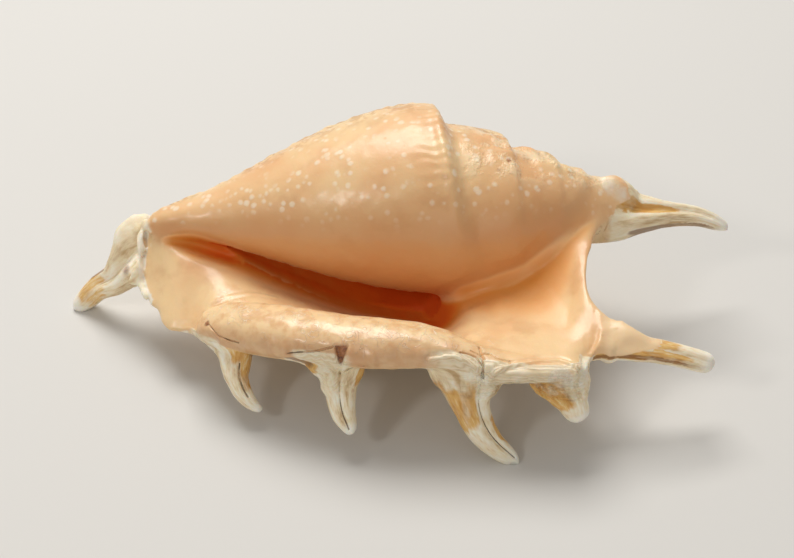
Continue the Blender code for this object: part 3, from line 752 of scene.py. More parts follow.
# %% The web
# Rows across the web: its upper edge, its lower edge and half its thickness.
WEB = (
    (0.0385, -0.0275, 0.0283, 0.0365, -0.0440, 0.0224, 0.0008),
    (0.0408, -0.0300, 0.0277, 0.0398, -0.0440, 0.0226, 0.0010),
    (0.0440, -0.0347, 0.0257, 0.0432, -0.0436, 0.0225, 0.0010),
    (0.0470, -0.0376, 0.0249, 0.0466, -0.0428, 0.0222, 0.0010),
    (0.0498, -0.0394, 0.0240, 0.0496, -0.0420, 0.0224, 0.0009),
    (0.0526, -0.0408, 0.0224, 0.0524, -0.0413, 0.0220, 0.0005),
)
WEB_STATIONS = 90
WEB_ROUNDS = 48
WEB_END = 0.04


def web_rows(share, first, last):
    """Smooth curves through some columns of the web's rows, at shares of its length."""
    return curve_through(share, np.linspace(0, 1, len(WEB)), np.array(WEB)[:, first:last])


def web_sheet(share, across):
    """Upper edge * (1 + across) / 2 + lower edge * (1 - across) / 2, at shares of its length."""
    across = np.asarray(across)[..., None]
    return (web_rows(share, 0, 3) * (1 + across) + web_rows(share, 3, 6) * (1 - across)) / 2


def web():
    """The web's sheet at cos(around), plus half its thickness * sin(around) along the normal."""
    share = np.linspace(0, 1, WEB_STATIONS)
    around = np.linspace(0, 2 * np.pi, WEB_ROUNDS, endpoint=False)[:, None]
    middle = web_sheet(share, 0 * share)
    width = web_sheet(share, 1 + 0 * share) - middle
    normal = unit(np.cross(width, np.gradient(middle, axis=0)))
    half = web_rows(share, 6, 7)[:, 0] * rounded_ends(share, WEB_END)
    thick = (np.sin(around) * half)[..., None] * normal
    return tube_object("web", middle + np.cos(around)[..., None] * width + thick)


web_piece = web()
print("web:", len(web_piece.data.polygons), "faces")

# %% [markdown]
# ## Fuse them into one skin
#
# The forms overlap, and a real shell has no joints, so a voxel remesh melts them into one closed
# skin. It is put where the solid is: its top and its back against the solid's, and its ends
# centred on the solid's ends.

# %% Fuse
VOXEL = 0.0004
SMOOTH_FACTOR = 0.5
SMOOTH_PASSES = 5


def evaluated_mesh(obj):
    """Take the object's mesh as its modifiers leave it."""
    depsgraph = bpy.context.evaluated_depsgraph_get()
    return bpy.data.meshes.new_from_object(obj.evaluated_get(depsgraph))


def read_points(mesh):
    """Vertex places as an array of rows."""
    flat = np.empty(len(mesh.vertices) * 3)
    mesh.vertices.foreach_get("co", flat)
    return flat.reshape(-1, 3)


def write_points(mesh, points):
    """Put an array of rows back as vertex places."""
    mesh.vertices.foreach_set("co", points.ravel())
    mesh.update()


def read_normals(mesh):
    """Vertex normals as an array of rows."""
    flat = np.empty(len(mesh.vertices) * 3)
    mesh.vertex_normals.foreach_get("vector", flat)
    return flat.reshape(-1, 3)


together = bmesh.new()
for piece in [coil_piece, lip_piece, *spine_pieces, web_piece, *bead_pieces]:
    together.from_mesh(evaluated_mesh(piece))
shell_mesh = bpy.data.meshes.new("shell")
together.to_mesh(shell_mesh)
together.free()
shell = bpy.data.objects.new("shell", shell_mesh)
workings.objects.link(shell)
remesh = shell.modifiers.new("Fuse", "REMESH")
remesh.mode = "VOXEL"
remesh.voxel_size = VOXEL
soften = shell.modifiers.new("Soften", "SMOOTH")
soften.factor = SMOOTH_FACTOR
soften.iterations = SMOOTH_PASSES
dense = evaluated_mesh(shell)
points = read_points(dense)
low, high = points.min(0), points.max(0)
SHIFT = np.array([
    (CAD_LOW[0] + CAD_HIGH[0] - low[0] - high[0]) / 2,
    CAD_HIGH[1] - high[1],
    CAD_HIGH[2] - high[2],
])
print("fused:", len(points), "points; moved by", np.round(SHIFT * 1000, 2), "mm")

# %% [markdown]
# ## Where is each point on the shell?
#
# Fine marks follow the shell's growth, so each point of the skin needs its place in the shell's
# own terms: its angle and depth on the coil, how far along and out it is on the lip, and how far
# along and round a spine. The first is a formula. For the lip, the nearest of some sample places
# is improved by a few Newton steps, and for a spine the nearest sample of its path is enough.

# %% Places on the coil and the lip
BLOCKS = 40
LIP_SAMPLES = (61, 21)
NEWTON_STEPS = 4
NEWTON_TINY = 1e-3
NEWTON_REACH = (0.03, 0.1)


def last_turn(angle):
    """The angle less a whole turn where it lies past the end of the last whorl."""
    return np.where(angle > LAST_ANGLE, angle - 360, angle)


def coil_place(points):
    """Angle from 0 to 360, X, and depth below the outer wall, in the coil's own frame."""
    x = points[:, 0]
    across = -(points[:, 1] - AXIS_Y - AXIS_SLOPE * x)
    rise = points[:, 2] - AXIS_Z - AXIS_SLOPE * x
    angle = np.degrees(np.arctan2(rise, across)) % 360
    radius = np.hypot(across, rise)
    return angle, x, coil_radius(last_turn(angle), x) - radius


def nearest_sample(points, samples):
    """Number of the nearest sample: the one with the least sample squared - 2 point * sample."""
    square = (samples**2).sum(1)
    blocks = np.array_split(points, BLOCKS)
    return np.concatenate([(square - 2 * block @ samples.T).argmin(1) for block in blocks])


def lip_place(points):
    """Share along the edge, share out from the coil, height above the middle sheet and distance
    to the edge. Each Newton step solves the two normal equations of the nearest point."""
    grids = np.meshgrid(*(np.linspace(0, 1, count) for count in LIP_SAMPLES))
    grid_along, grid_out = (grid.ravel() for grid in grids)
    nearest = nearest_sample(points, lip_sheet(grid_along, grid_out))
    along = grid_along[nearest]
    out = grid_out[nearest]
    tiny = NEWTON_TINY
    most_along, most_out = NEWTON_REACH
    for _ in range(NEWTON_STEPS):
        here = lip_sheet(along, out)
        ahead = (lip_sheet(along + tiny, out) - lip_sheet(along - tiny, out)) / (2 * tiny)
        outward = (lip_sheet(along, out + tiny) - lip_sheet(along, out - tiny)) / (2 * tiny)
        miss = points - here
        aa, oo, ao = ((u * v).sum(1) for u, v in
                      ((ahead, ahead), (outward, outward), (ahead, outward)))
        ma, mo = (miss * ahead).sum(1), (miss * outward).sum(1)
        whole = np.maximum(aa * oo - ao * ao, 1e-14)
        step_along = np.clip((ma * oo - mo * ao) / whole, -most_along, most_along)
        step_out = np.clip((mo * aa - ma * ao) / whole, -most_out, most_out)
        along = np.clip(along + step_along, 0, 1)
        out = np.clip(out + step_out, 0, 1)
    normal = unit(np.cross(outward, ahead))
    miss = points - lip_sheet(along, out)
    from_edge = np.linalg.norm(lip_sheet(along, out) - lip_sheet(along, 0 * out + 1), axis=1)
    return along, out, (miss * normal).sum(1), from_edge, np.linalg.norm(miss, axis=1)


print("the deepest point is", round(float(coil_place(points)[2].max()) * 1000, 1), "mm inside")

# %% Places on the spines and beside lines
SPINE_SAMPLES = 160
# Beyond this gap along the normal, a line on the far side of a thin wall counts as far away.
SAME_SIDE = 0.0015
# Degrees by which the glaze reaches further over the back than the smooth callus.
GLAZE_FURTHER = 16


def spine_place(points, name):
    """Share along, degrees round, and distance from the path over the spine's own radius, from
    the nearest sample of the path."""
    share = np.linspace(0, 1, SPINE_SAMPLES)
    path, half_width, half_depth, side, up, length = spine_path(name, share)
    nearest = nearest_sample(points, path)
    off = points - path[nearest]
    wide = (off * side[nearest]).sum(1) / half_width[nearest]
    deep = (off * up[nearest]).sum(1) / half_depth[nearest]
    along = np.cross(up, side)[nearest]
    reach = share[nearest] + (off * along).sum(1) / length
    return reach, np.degrees(np.arctan2(deep, wide)), np.hypot(wide, deep)


def gaps_to_runs(points, path):
    """For each straight run of a path, the vector from its nearest place to each point."""
    path = np.asarray(path, float)
    for start, end in zip(path[:-1], path[1:]):
        run = end - start
        t = np.clip((points - start) @ run / max(run @ run, 1e-12), 0, 1)
        yield points - start - t[:, None] * run


def path_distance(points, path):
    """Distance to a path of straight runs: the least of the distances to its runs."""
    return np.minimum.reduce([np.linalg.norm(gap, axis=1) for gap in gaps_to_runs(points, path)])


def line_distance(points, normals, path):
    """Distance to a path along the surface: what the gap has along the normal is left out, save
    for what goes beyond the wall's half thickness or so."""
    least = np.full(len(points), np.inf)
    for gap in gaps_to_runs(points, path):
        off = (gap * normals).sum(1)
        flat = np.sqrt(np.maximum((gap**2).sum(1) - off**2, 0))
        least = np.minimum(least, flat + 3 * np.maximum(np.abs(off) - SAME_SIDE, 0))
    return least


def seen_along(points, way):
    """Points with their part along a direction taken out, as if looked at along it."""
    points = np.asarray(points, float)
    return points - (points @ way)[..., None] * way


class Places:
    """Where each point lies on the coil and on the lip, and how far the glaze covers it."""

    def __init__(self, points):
        self.own = points - SHIFT
        self.angle, self.x, self.depth = coil_place(self.own)
        self.along, self.out, self.height, self.from_edge, self.off_sheet = lip_place(self.own)
        self.point = lip_point_number(self.along)
        self.signed = last_turn(self.angle)
        self.cover = np.clip(callus_cover(self.signed - GLAZE_FURTHER), 0, 1)


near_sixth = spine_place(points, "sixth")[2] < 1
print(int(near_sixth.sum()), "points lie on the sixth spine")

# %% [markdown]
# ## Soften the joins
#
# Callus fills the inner corners of a shell: where the lip leaves the coil, and at the front where
# the two run together. Each point there moves towards the mean of its neighbours, pass after
# pass, which rounds the corner out. The weight says how far it goes, from 0 to 1.

# %% Round out the corners
CREASE = ((0.0107, 0.0061, 0.0097), (0.0158, -0.0021, 0.0167), (0.0223, -0.0028, 0.0189),
          (0.0287, -0.0011, 0.0211), (0.0350, -0.0008, 0.0255), (0.0392, 0.0003, 0.0288),
          (0.0430, 0.0033, 0.0305), (0.0452, 0.0075, 0.0320))
CREASE_REACH = (0.0075, 0.0038)
CREASE_PASSES = 320
WEB_PASSES = 220
WEB_JOIN = ((0.0430, -0.0240, 0.0292), (0.0412, -0.0315, 0.0276), (0.0410, -0.0365, 0.0255),
            (0.0405, -0.0415, 0.0238), (0.0395, -0.0450, 0.0226))
SPINE_2 = ((0.0460, -0.0416, 0.0195), (0.0593, -0.0419, 0.0172))
SLIT_FRONT = ((-0.0512, 0.0072, 0.0233), (-0.0485, 0.0070, 0.0234), (-0.0457, 0.0069, 0.0230),
              (-0.0431, 0.0068, 0.0222), (-0.0405, 0.0065, 0.0213), (-0.0375, 0.0065, 0.0202),
              (-0.0345, 0.0065, 0.0189))
FRONT_JOIN = (-0.0430, -0.0500)
FRONT_JOIN_END = (-0.0585, -0.0555)
FRONT_WEIGHT = 0.8
CLEAR_OF_BEAD = (0.0012, 0.0028)
LIP_SPINES = ("second", "third", "fourth", "fifth", "sixth")
ROOT_WEIGHT = 0.15
ROOT_REACH = (0.009, 0.004)
SLIT_WEIGHT = 0.8
SLIT_REACH = (0.0050, 0.0025)
SLIT_REACH_X = (-0.034, -0.038)
WEB_WEIGHT = 0.9
WEB_REACH = (0.0060, 0.0030)
CLEAR_OF_SPINE_2 = (0.0020, 0.0035)
RELAX_PASSES = 70


def relax(mesh, points, weight, passes):
    """Point + weight * (mean of its neighbours - point), repeated."""
    pairs = np.empty(2 * len(mesh.edges), np.int32)
    mesh.edges.foreach_get("vertices", pairs)
    first, second = pairs.reshape(-1, 2).T
    keep = (weight[first] > 0) | (weight[second] > 0)
    first, second = first[keep], second[keep]
    size = len(points)
    count = np.maximum(np.bincount(first, minlength=size) + np.bincount(second, minlength=size), 1)
    moving = (weight > 0)[:, None] * weight[:, None]
    for _ in range(passes):
        total = np.stack([
            np.bincount(first, points[second, k], size) + np.bincount(second, points[first, k], size)
            for k in range(3)
        ], 1)
        points = points + moving * (total / count[:, None] - points)
    return points


points = points + SHIFT
crease = ease(path_distance(points, CREASE), *CREASE_REACH)
points = relax(dense, points, crease, CREASE_PASSES)
off_bead = path_distance(points - SHIFT, np.array(BEAD)[:, :3])
joins = FRONT_WEIGHT * between(points[:, 0], FRONT_JOIN, FRONT_JOIN_END)
joins = joins * ease(off_bead, *CLEAR_OF_BEAD)
for name in LIP_SPINES:
    off_root = np.linalg.norm(points - np.array(SPINES[name][2][:3]) - SHIFT, axis=1)
    joins = np.maximum(joins, ROOT_WEIGHT * ease(off_root, *ROOT_REACH))
own = points - SHIFT
slit_fold = ease(path_distance(points, SLIT_FRONT), *SLIT_REACH) * ease(own[:, 0], *SLIT_REACH_X)
joins = np.maximum(joins, SLIT_WEIGHT * slit_fold)
points = relax(dense, points, joins, RELAX_PASSES)
corner = ease(path_distance(own, WEB_JOIN), *WEB_REACH)
corner = corner * ease(path_distance(own, SPINE_2), *CLEAR_OF_SPINE_2)
points = relax(dense, points, WEB_WEIGHT * corner, WEB_PASSES)
write_points(dense, points)
print(round(float((joins + crease > 0).mean()) * 100, 1), "% of the points were softened")

# %% [markdown]
# ## Cracks, seams and folds
#
# The lip's edge was laid down in layers, and where a spine grew the layers fold and crack. Those
# lines are given as short paths on the shell, in the frame's own metres, each with a width and a
# depth. The skin sinks along a crack and rises along a fold, in a bell shape.

# %% Lines in the surface
DARK_SEAMS = {"fifth": (0.26, 0.95), "fourth": (0.27, 0.95), "sixth": (0.50, 0.82)}
SEAM_LINE = (0.00015, 0.0004)
SEAM_STATIONS = 12


def seam_line(name, start, end):
    """Bottom of a spine's seam between two shares of its length: the spine's own formula at the
    seam's place round it."""
    share = np.linspace(start, end, SEAM_STATIONS)
    path, half_width, half_depth, side, up, _ = spine_path(name, share)
    depth, seam_at, _ = SEAMS[name]
    notch = 1 - depth * ease(share, *SEAM_SHARES)
    wide = half_width * notch * math.cos(math.radians(seam_at))
    deep = half_depth * notch * math.sin(math.radians(seam_at))
    return path + wide[:, None] * side + deep[:, None] * up + SHIFT


CRACKS = (
    # Under the pad's left end, from a small hole.
    (((-0.0398, -0.0157, 0.0185), (-0.0372, -0.0186, 0.0178), (-0.0345, -0.0208, 0.0182),
      (-0.0330, -0.0216, 0.0184)), 0.00014, 0.0004),
    # Into the pit over the fifth spine, and the fold to its right.
    (((-0.0225, -0.0268, 0.0200), (-0.0199, -0.0278, 0.0211), (-0.0174, -0.0287, 0.0219),
      (-0.0153, -0.0293, 0.0229), (-0.0130, -0.0296, 0.0240)), 0.00018, 0.0004),
    (((-0.0115, -0.0304, 0.0176), (-0.0104, -0.0300, 0.0180), (-0.0088, -0.0304, 0.0193),
      (-0.0066, -0.0316, 0.0207)), 0.00016, 0.0004),
    # The star over the fourth spine: one crack down and folds to both sides.
    (((0.0169, -0.0290, 0.0240), (0.0172, -0.0313, 0.0241), (0.0176, -0.0328, 0.0238),
      (0.0173, -0.0344, 0.0225), (0.0173, -0.0346, 0.0195)), 0.00022, 0.0007),
    (((0.0128, -0.0318, 0.0244), (0.0143, -0.0320, 0.0244), (0.0159, -0.0325, 0.0240),
      (0.0171, -0.0342, 0.0228)), 0.00016, 0.0004),
    (((0.0150, -0.0310, 0.0243), (0.0163, -0.0316, 0.0242), (0.0172, -0.0322, 0.0240)),
     0.00014, 0.0003),
    (((0.0174, -0.0313, 0.0241), (0.0188, -0.0311, 0.0239), (0.0204, -0.0323, 0.0236),
      (0.0228, -0.0330, 0.0234)), 0.00016, 0.0004),
)
FOLDS = (
    (((0.0067, -0.0325, 0.0230), (0.0097, -0.0326, 0.0239), (0.0117, -0.0326, 0.0241),
      (0.0141, -0.0334, 0.0235), (0.0157, -0.0342, 0.0223), (0.0169, -0.0334, 0.0189)),
     0.0004, 0.00030),
    (((0.0179, -0.0340, 0.0185), (0.0186, -0.0338, 0.0195), (0.0196, -0.0347, 0.0212),
      (0.0218, -0.0343, 0.0230), (0.0248, -0.0334, 0.0232), (0.0289, -0.0323, 0.0231),
      (0.0330, -0.0319, 0.0230), (0.0355, -0.0332, 0.0230), (0.0371, -0.0340, 0.0222)),
     0.0004, 0.00030),
    # Faint edge of the pad's upper left end.
    (((-0.0411, -0.0131, 0.0181), (-0.0409, -0.0085, 0.0169), (-0.0395, -0.0072, 0.0180),
      (-0.0369, -0.0064, 0.0188), (-0.0337, -0.0056, 0.0189), (-0.0304, -0.0047, 0.0185),
      (-0.0263, -0.0047, 0.0177)), 0.0004, 0.00010),
)
CRACKS += tuple((seam_line(name, *ends), *SEAM_LINE) for name, ends in DARK_SEAMS.items())
print(len(CRACKS), "cracks and", len(FOLDS), "folds")

# %% [markdown]
# ## Raise the fine relief
#
# The relief is one height for each point, added along its normal: growth lines and cords on the
# back, soft dimples in the glaze, a wrinkled pad, a layered rim, folds and a pit. The front end
# of the mouth is opened as well. The cracks are cut later, in a finer skin.

# %% The slit and the pit
SLIT_CORNER = ((0.0096, 0.0071, 0.0080), (0.0095, 0.0015, 0.0079), (0.0090, -0.0038, 0.0094))
SLIT_DEPTH = 0.0036
SLIT_WIDTHS = (0.0010, 0.0021)
SLIT_START = (-0.0525, -0.0430)
SLIT_END = (-0.0330, -0.0390)
SLIT_TILT = math.radians(38)
SLIT_WAY = np.array((0, math.cos(SLIT_TILT), -math.sin(SLIT_TILT)))
PIT = np.array(((-0.0130, -0.0297, 0.0243), (-0.0098, -0.0303, 0.0249), (-0.0115, -0.0299, 0.0186)))
PIT_DEPTH = 0.0011
PIT_REACH = 0.004
PIT_BRINK = (-0.04, 0.12)


def slit_width(x):
    """Half width of the slit, which grows towards the mouth."""
    return SLIT_WIDTHS[0] + (SLIT_WIDTHS[1] - SLIT_WIDTHS[0]) * ease(x, *SLIT_START)


def opening(points):
    """Shift that opens the front end of the mouth: back into the shell, in a bell across the
    slit's path, deeper towards the mouth."""
    x = points[:, 0]
    bell = mound(path_distance(points, SLIT_FRONT), 0, slit_width(x))
    return (SLIT_DEPTH * bell * between(x, SLIT_START, SLIT_END))[:, None] * SLIT_WAY


def in_pit(points):
    """1 inside the pit's triangle, 0 outside: the least of the point's three shares of its
    corners, where the point lies close to the triangle's plane."""
    a, b, c = PIT
    normal = np.cross(b - a, c - a)
    whole = normal @ normal
    off = points - a
    share_b = np.cross(off, c - a) @ normal / whole
    share_c = np.cross(b - a, off) @ normal / whole
    least = np.minimum(np.minimum(share_b, share_c), 1 - share_b - share_c)
    close = ease(np.abs(off @ normal) / math.sqrt(whole), PIT_REACH, PIT_REACH / 2)
    return ease(least, *PIT_BRINK) * close


print("the slit is", SLIT_DEPTH * 1000, "mm deep and the pit", PIT_DEPTH * 1000, "mm")

# %% Relief
# Uneven layers: height in metres, size of the waves, seed and octaves.
UNEVEN = {
    "everywhere": (0.00003, 0.0040, 1, 3),
    "back": (0.00012, 0.0060, 3, 3),
    "pad": (0.00008, 0.0080, 4, 3),
    "underside": (0.00010, 0.0050, 5, 3),
    "pad's rim": (0.00016, 0.0040, 6, 2),
    "front edge": (0.00022, 0.0065, 7, 2),
    "spire": (0.00045, 0.0062, 10, 2),
}
PAD_STRETCH = np.array([1, 1.6, 1])
GROWTH_LINE = 0.00005
GROWTH_LINES_PER_DEGREE = 2.1
CORD = 0.00018
CORD_SPACING = 0.0052
CORD_DRIFT = 0.0008
ROOT_RIB = 0.0009
ROOT_RIB_WIDTH = 0.022
EDGE_LINE = 0.00005
EDGE_LINE_SIZE = 0.00045
LAYER_LINE = 0.00016
LAYER_LINE_SIZE = 0.00011
SHORT_RIB = 0.00007
SHORT_RIBS_PER_TURN = 55
FOLD_FOOT = 0.0009
FOLD_SINK = 0.8


def lip_share(name):
    """Share along the lip of the edge point nearest a spine's root."""
    root = np.array(SPINES[name][1][:3])
    return LIP_PLACES[np.argmin(np.linalg.norm(np.array(LIP_EDGE) - root, axis=1))]


def uneven(weight, points, name):
    """Weight * the height of one of the uneven layers."""
    height, *kind = UNEVEN[name]
    return weight * height * waves(points, *kind)


def coil_relief(points, at, on_coil):
    """Growth lines are a sine of the angle, and cords are a squared sine of x less a drift with
    the angle. Short ribs behind the callus's ridge and lumps on the spire are added."""
    bare = on_coil * (1 - at.cover)
    lines = np.sin(at.angle * GROWTH_LINES_PER_DEGREE + 2 * waves(points, 0.01, 2, 2))
    total = bare * GROWTH_LINE * lines + uneven(bare, points, "back")
    cords = np.sin(2 * np.pi * (at.x - CORD_DRIFT * np.radians(at.angle)) / CORD_SPACING) ** 2
    total += bare * CORD * cords * ease(at.x, 0.012, 0.004)
    ribs = np.sin(np.radians(at.angle) * SHORT_RIBS_PER_TURN + waves(points, 0.006, 9, 2))
    behind_ridge = mound(at.x, 0.0085, 0.0045) * between(at.angle, (30, 60), (125, 100))
    total += on_coil * behind_ridge * SHORT_RIB * ribs
    spire = between(at.x, (0.017, 0.021), (0.042, 0.036)) * between(at.angle, (55, 80), (130, 110))
    return total + uneven(on_coil * spire, points, "spire")


def lip_relief(points, at, on_lip):
    """Wrinkles on the pad and the underside, a rib under each spine's root, a sine of the distance
    from the edge, and a sine of the height for the layers of the rim."""
    pad = on_lip * ease(at.height, 0.0004, 0.0012) * between(at.point, (5.4, 6.2), (11.4, 10.2))
    pad = pad * ease(at.from_edge, 0.0155, 0.011)
    total = uneven(pad, points * PAD_STRETCH, "pad")
    total += uneven(pad * ease(at.from_edge, 0.004, 0.001), points, "pad's rim")
    front_edge = on_lip * ease(at.point, 6.0, 5.0) * ease(at.from_edge, 0.0035, 0.0005)
    total += uneven(front_edge, points, "front edge")
    under = on_lip * ease(at.height, -0.0004, -0.0010)
    total += uneven(under, points, "underside")
    for name in LIP_SPINES:
        rib = mound(at.along, lip_share(name), ROOT_RIB_WIDTH) * ease(at.out, 0.1, 0.7)
        total += under * ROOT_RIB * rib
    lines = np.sin(at.from_edge / EDGE_LINE_SIZE) * ease(at.from_edge, 0.004, 0.0)
    total += on_lip * EDGE_LINE * lines
    rim = between(at.point, LAYERED_POINTS, LAYERED_END_POINTS) * on_lip
    rim = rim * ease(at.from_edge, 0.0030, 0.0012) * ease(at.height, 0.0008, -0.0002)
    layers = np.sin(at.height / LAYER_LINE_SIZE + 1.5 * waves(points, 0.008, 8, 2))
    return total + rim * LAYER_LINE * layers


def relief(points, normals):
    """Height of the fine relief over the fused skin, in metres."""
    at = Places(points)
    on_coil = ease(np.abs(at.depth), 0.0022, 0.0006)
    on_lip = ease(at.off_sheet, 0.0075, 0.0055) * (1 - on_coil)
    total = uneven(1, points, "everywhere") - PIT_DEPTH * in_pit(points)
    total += coil_relief(points, at, on_coil) + lip_relief(points, at, on_lip)
    for path, width, lift in FOLDS:
        gap = line_distance(points, normals, path)
        total += lift * (mound(gap, 0, width) - FOLD_SINK * mound(gap, FOLD_FOOT, width))
    return total


normals = read_normals(dense)
points = points + normals * relief(points, normals)[:, None]
points = points + opening(points)
points = np.clip(points, CAD_LOW, CAD_HIGH)
write_points(dense, points)
print("relief raised;", round(float(points[:, 2].max()) * 1000, 1), "mm tall")

# %% [markdown]
# ## Thin out where the skin is smooth
#
# The dense skin has far more triangles than a smooth glaze needs. Decimate takes them away where
# the surface is nearly flat and keeps them in the seams and along the edges.

# %% Thin out
TRIANGLES = 165000

shell.modifiers.clear()
shell.data = dense
dense.calc_loop_triangles()
thin = shell.modifiers.new("Thin", "DECIMATE")
thin.ratio = TRIANGLES / len(dense.loop_triangles)
thin.use_collapse_triangulate = True
thinned = evaluated_mesh(shell)
for obj in list(workings.objects):
    bpy.data.objects.remove(obj, do_unlink=True)
bpy.data.collections.remove(workings)
print("thinned to", len(thinned.polygons), "triangles")

# %% [markdown]
# ## Cut the cracks
#
# A crack is finer than the skin's triangles, so the edges near one are halved a few times first.
# A triangle with one, two or three halved edges becomes two, three or four triangles, and the
# skin stays closed. Then the points sink along each crack in a narrow bell.

# %% Halve the edges and cut
# Each round halves the edges within a reach of a crack that are longer than a limit.
HALVING_ROUNDS = ((0.0015, 0.0006), (0.0010, 0.00035), (0.0006, 0.0002), (0.0004, 0.00012),
                  (0.0003, 0.00012))


def halve_edges(points, corners, near, longest):
    """Put a point in the middle of each edge over a length whose two ends are near, and split the
    triangles there. A triangle is turned first, so that its halved edges come first."""
    edges = np.sort(np.stack([corners, np.roll(corners, -1, 1)], -1).reshape(-1, 2), 1)
    edges, whose = np.unique(edges, axis=0, return_inverse=True)
    length = np.linalg.norm(points[edges[:, 0]] - points[edges[:, 1]], axis=1)
    halved = near[edges].all(1) & (length > longest)
    number = np.where(halved, len(points) + np.cumsum(halved) - 1, -1)
    middle = number[whose.ravel()].reshape(-1, 3)
    points = np.concatenate([points, points[edges[halved]].mean(1)])
    count = (middle >= 0).sum(1)
    start = np.where(count == 1, (middle >= 0).argmax(1), ((middle < 0).argmax(1) + 1) % 3)
    turn = (np.where(count % 3 == 0, 0, start)[:, None] + np.arange(3)) % 3
    a, b, c = np.take_along_axis(corners, turn, 1).T
    ab, bc, ca = np.take_along_axis(middle, turn, 1).T
    parts = {
        0: ((a, b, c),),
        1: ((a, ab, c), (ab, b, c)),
        2: ((ab, b, bc), (a, ab, bc), (a, bc, c)),
        3: ((a, ab, ca), (ab, b, bc), (ca, bc, c), (ab, bc, ca)),
    }
    split = [np.stack(part, 1)[count == times] for times, ways in parts.items() for part in ways]
    return points, np.concatenate(split)


def near_cracks(points, reach):
    """True for the points within reach of a crack."""
    return np.minimum.reduce([path_distance(points, path) for path, _, _ in CRACKS]) < reach


def closed_mesh(name, points, corners):
    """A smooth mesh from points and triangles."""
    made = bpy.data.meshes.new(name)
    made.from_pydata(points.tolist(), [], corners.tolist())
    made.shade_smooth()
    made.update()
    return made


points = read_points(thinned)
corners = np.empty(3 * len(thinned.polygons), np.int32)
thinned.polygons.foreach_get("vertices", corners)
corners = corners.reshape(-1, 3)
for reach, longest in HALVING_ROUNDS:
    points, corners = halve_edges(points, corners, near_cracks(points, reach), longest)
mesh = closed_mesh("spider_conch", points, corners)
normals = read_normals(mesh)
for path, width, sink in CRACKS:
    cut = sink * mound(line_distance(points, normals, path), 0, width)
    points = points - normals * cut[:, None]
write_points(mesh, points)
conch = bpy.data.objects.new("spider_conch", mesh)
bpy.context.scene.collection.objects.link(conch)
print("the shell has", len(mesh.polygons), "triangles")

# %% [markdown]
# ## Marks that the finish needs
#
# The finish changes over the shell: glaze on the callus, a bare mottled back, a deep orange
# mouth with painted shade in its hollow, slit and crease, painted shade on the coil's lower
# front, white worn edges, golden stains on the spines. Each is a number for every point, kept as
# an attribute of the mesh, and the shader turns those numbers into colours with fine noise.

# %% Marks of the spines
# For each spine: place round it in degrees, half width in degrees, and shares of its length where
# the stain starts and ends.
GOLD = {
    "sixth": ((165, 62, 0.16, 0.80), (95, 26, 0.16, 0.55)),
    "fifth": ((22, 26, 0.30, 0.46), (160, 24, 0.30, 0.60)),
    "fourth": ((68, 40, 0.34, 0.62), (20, 22, 0.30, 0.66), (158, 20, 0.58, 0.86)),
    "third": ((45, 50, 0.30, 0.86),),
    "second": ((116, 38, 0.24, 0.80), (40, 34, 0.26, 0.86)),
    "hind": ((92, 18, 0.36, 0.74),),
    "canal": ((60, 70, 0.62, 0.97), (150, 26, 0.60, 0.90)),
}
BROWN = {
    "sixth": ((175, 34, 0.14, 0.46), (100, 70, 0.10, 0.24)),
    "fourth": ((84, 14, 0.36, 0.44),),
    "fifth": ((24, 16, 0.24, 0.36), (140, 14, 0.30, 0.40)),
    "second": ((25, 14, 0.25, 0.92), (110, 12, 0.28, 0.42)),
    "hind": ((6, 22, 0.46, 0.97), (92, 8, 0.36, 0.44)),
    "canal": ((8, 16, 0.60, 0.80),),
}
SPINE_BEGINS = {"hind": 0.38, "canal": 0.26, "third": 0.30, "fourth": 0.20, "sixth": 0.10}
OTHER_SPINE_BEGINS = 0.17
# The skin of a spine ends between these distances from its path, over the spine's own radius.
SPINE_SKIN = (2.1, 1.35)
CANAL_SKIN = (3.0, 2.2)
CANAL_GOLD = 0.5


def stained(reach, around, patches):
    """1 where one of the patches covers the place along and round a spine, soft at its rim."""
    best = np.zeros(len(reach))
    for middle, half, start, end in patches:
        off = np.abs((around - middle + 180) % 360 - 180)
        cover = ease(off, 1.3 * half, 0.7 * half) * ease(reach, start - 0.05, start + 0.05)
        best = np.maximum(best, cover * ease(reach, end + 0.08, end - 0.10))
    return best


def spine_marks(points, at, on_web):
    """For each point, its share of a spine's skin, its place along that spine, a place for streaky
    noise (the skin rolled out as a cylinder), and the spine's golden and brown stains."""
    face = ease(at.height, 0.0001, 0.0006) * ease(at.off_sheet, 0.0064, 0.0052)
    face = face * ease(at.from_edge, 0.0002, 0.0012)
    canal_face = face * ease(at.along, 0.001, 0.008) * ease(at.own[:, 0], -0.0575, -0.0560)
    skin, tipward, gold, brown = np.zeros((4, len(points)))
    fibre = points * 600
    for number, name in enumerate(SPINES):
        if name == "flap":
            continue
        canal = name == "canal"
        reach, around, ratio = spine_place(at.own, name)
        begins = SPINE_BEGINS.get(name, OTHER_SPINE_BEGINS)
        weight = ease(ratio, *(CANAL_SKIN if canal else SPINE_SKIN))
        weight = weight * ease(reach, begins - 0.10, begins + 0.08)
        weight = weight * (1 - (canal_face if canal else face)) * (1 - on_web)
        better = weight > skin
        turn = np.radians(around)
        rolled = np.stack([3 * np.cos(turn), 3 * np.sin(turn), 7 * reach + 20 * number], -1)
        fibre = np.where(better[:, None], rolled, fibre)
        tipward = np.where(better, reach, tipward)
        strength = CANAL_GOLD if canal else 1
        gold = np.where(better, strength * stained(reach, around, GOLD.get(name, ())), gold)
        brown = np.where(better, stained(reach, around, BROWN.get(name, ())), brown)
        skin = np.maximum(skin, weight)
    tipward = np.clip(tipward, 0, 1)
    return {"spine": skin, "tipward": tipward, "fibre": fibre, "gold": gold, "brown": brown}


print(len(GOLD), "spines are stained with gold, and", len(BROWN), "with brown")
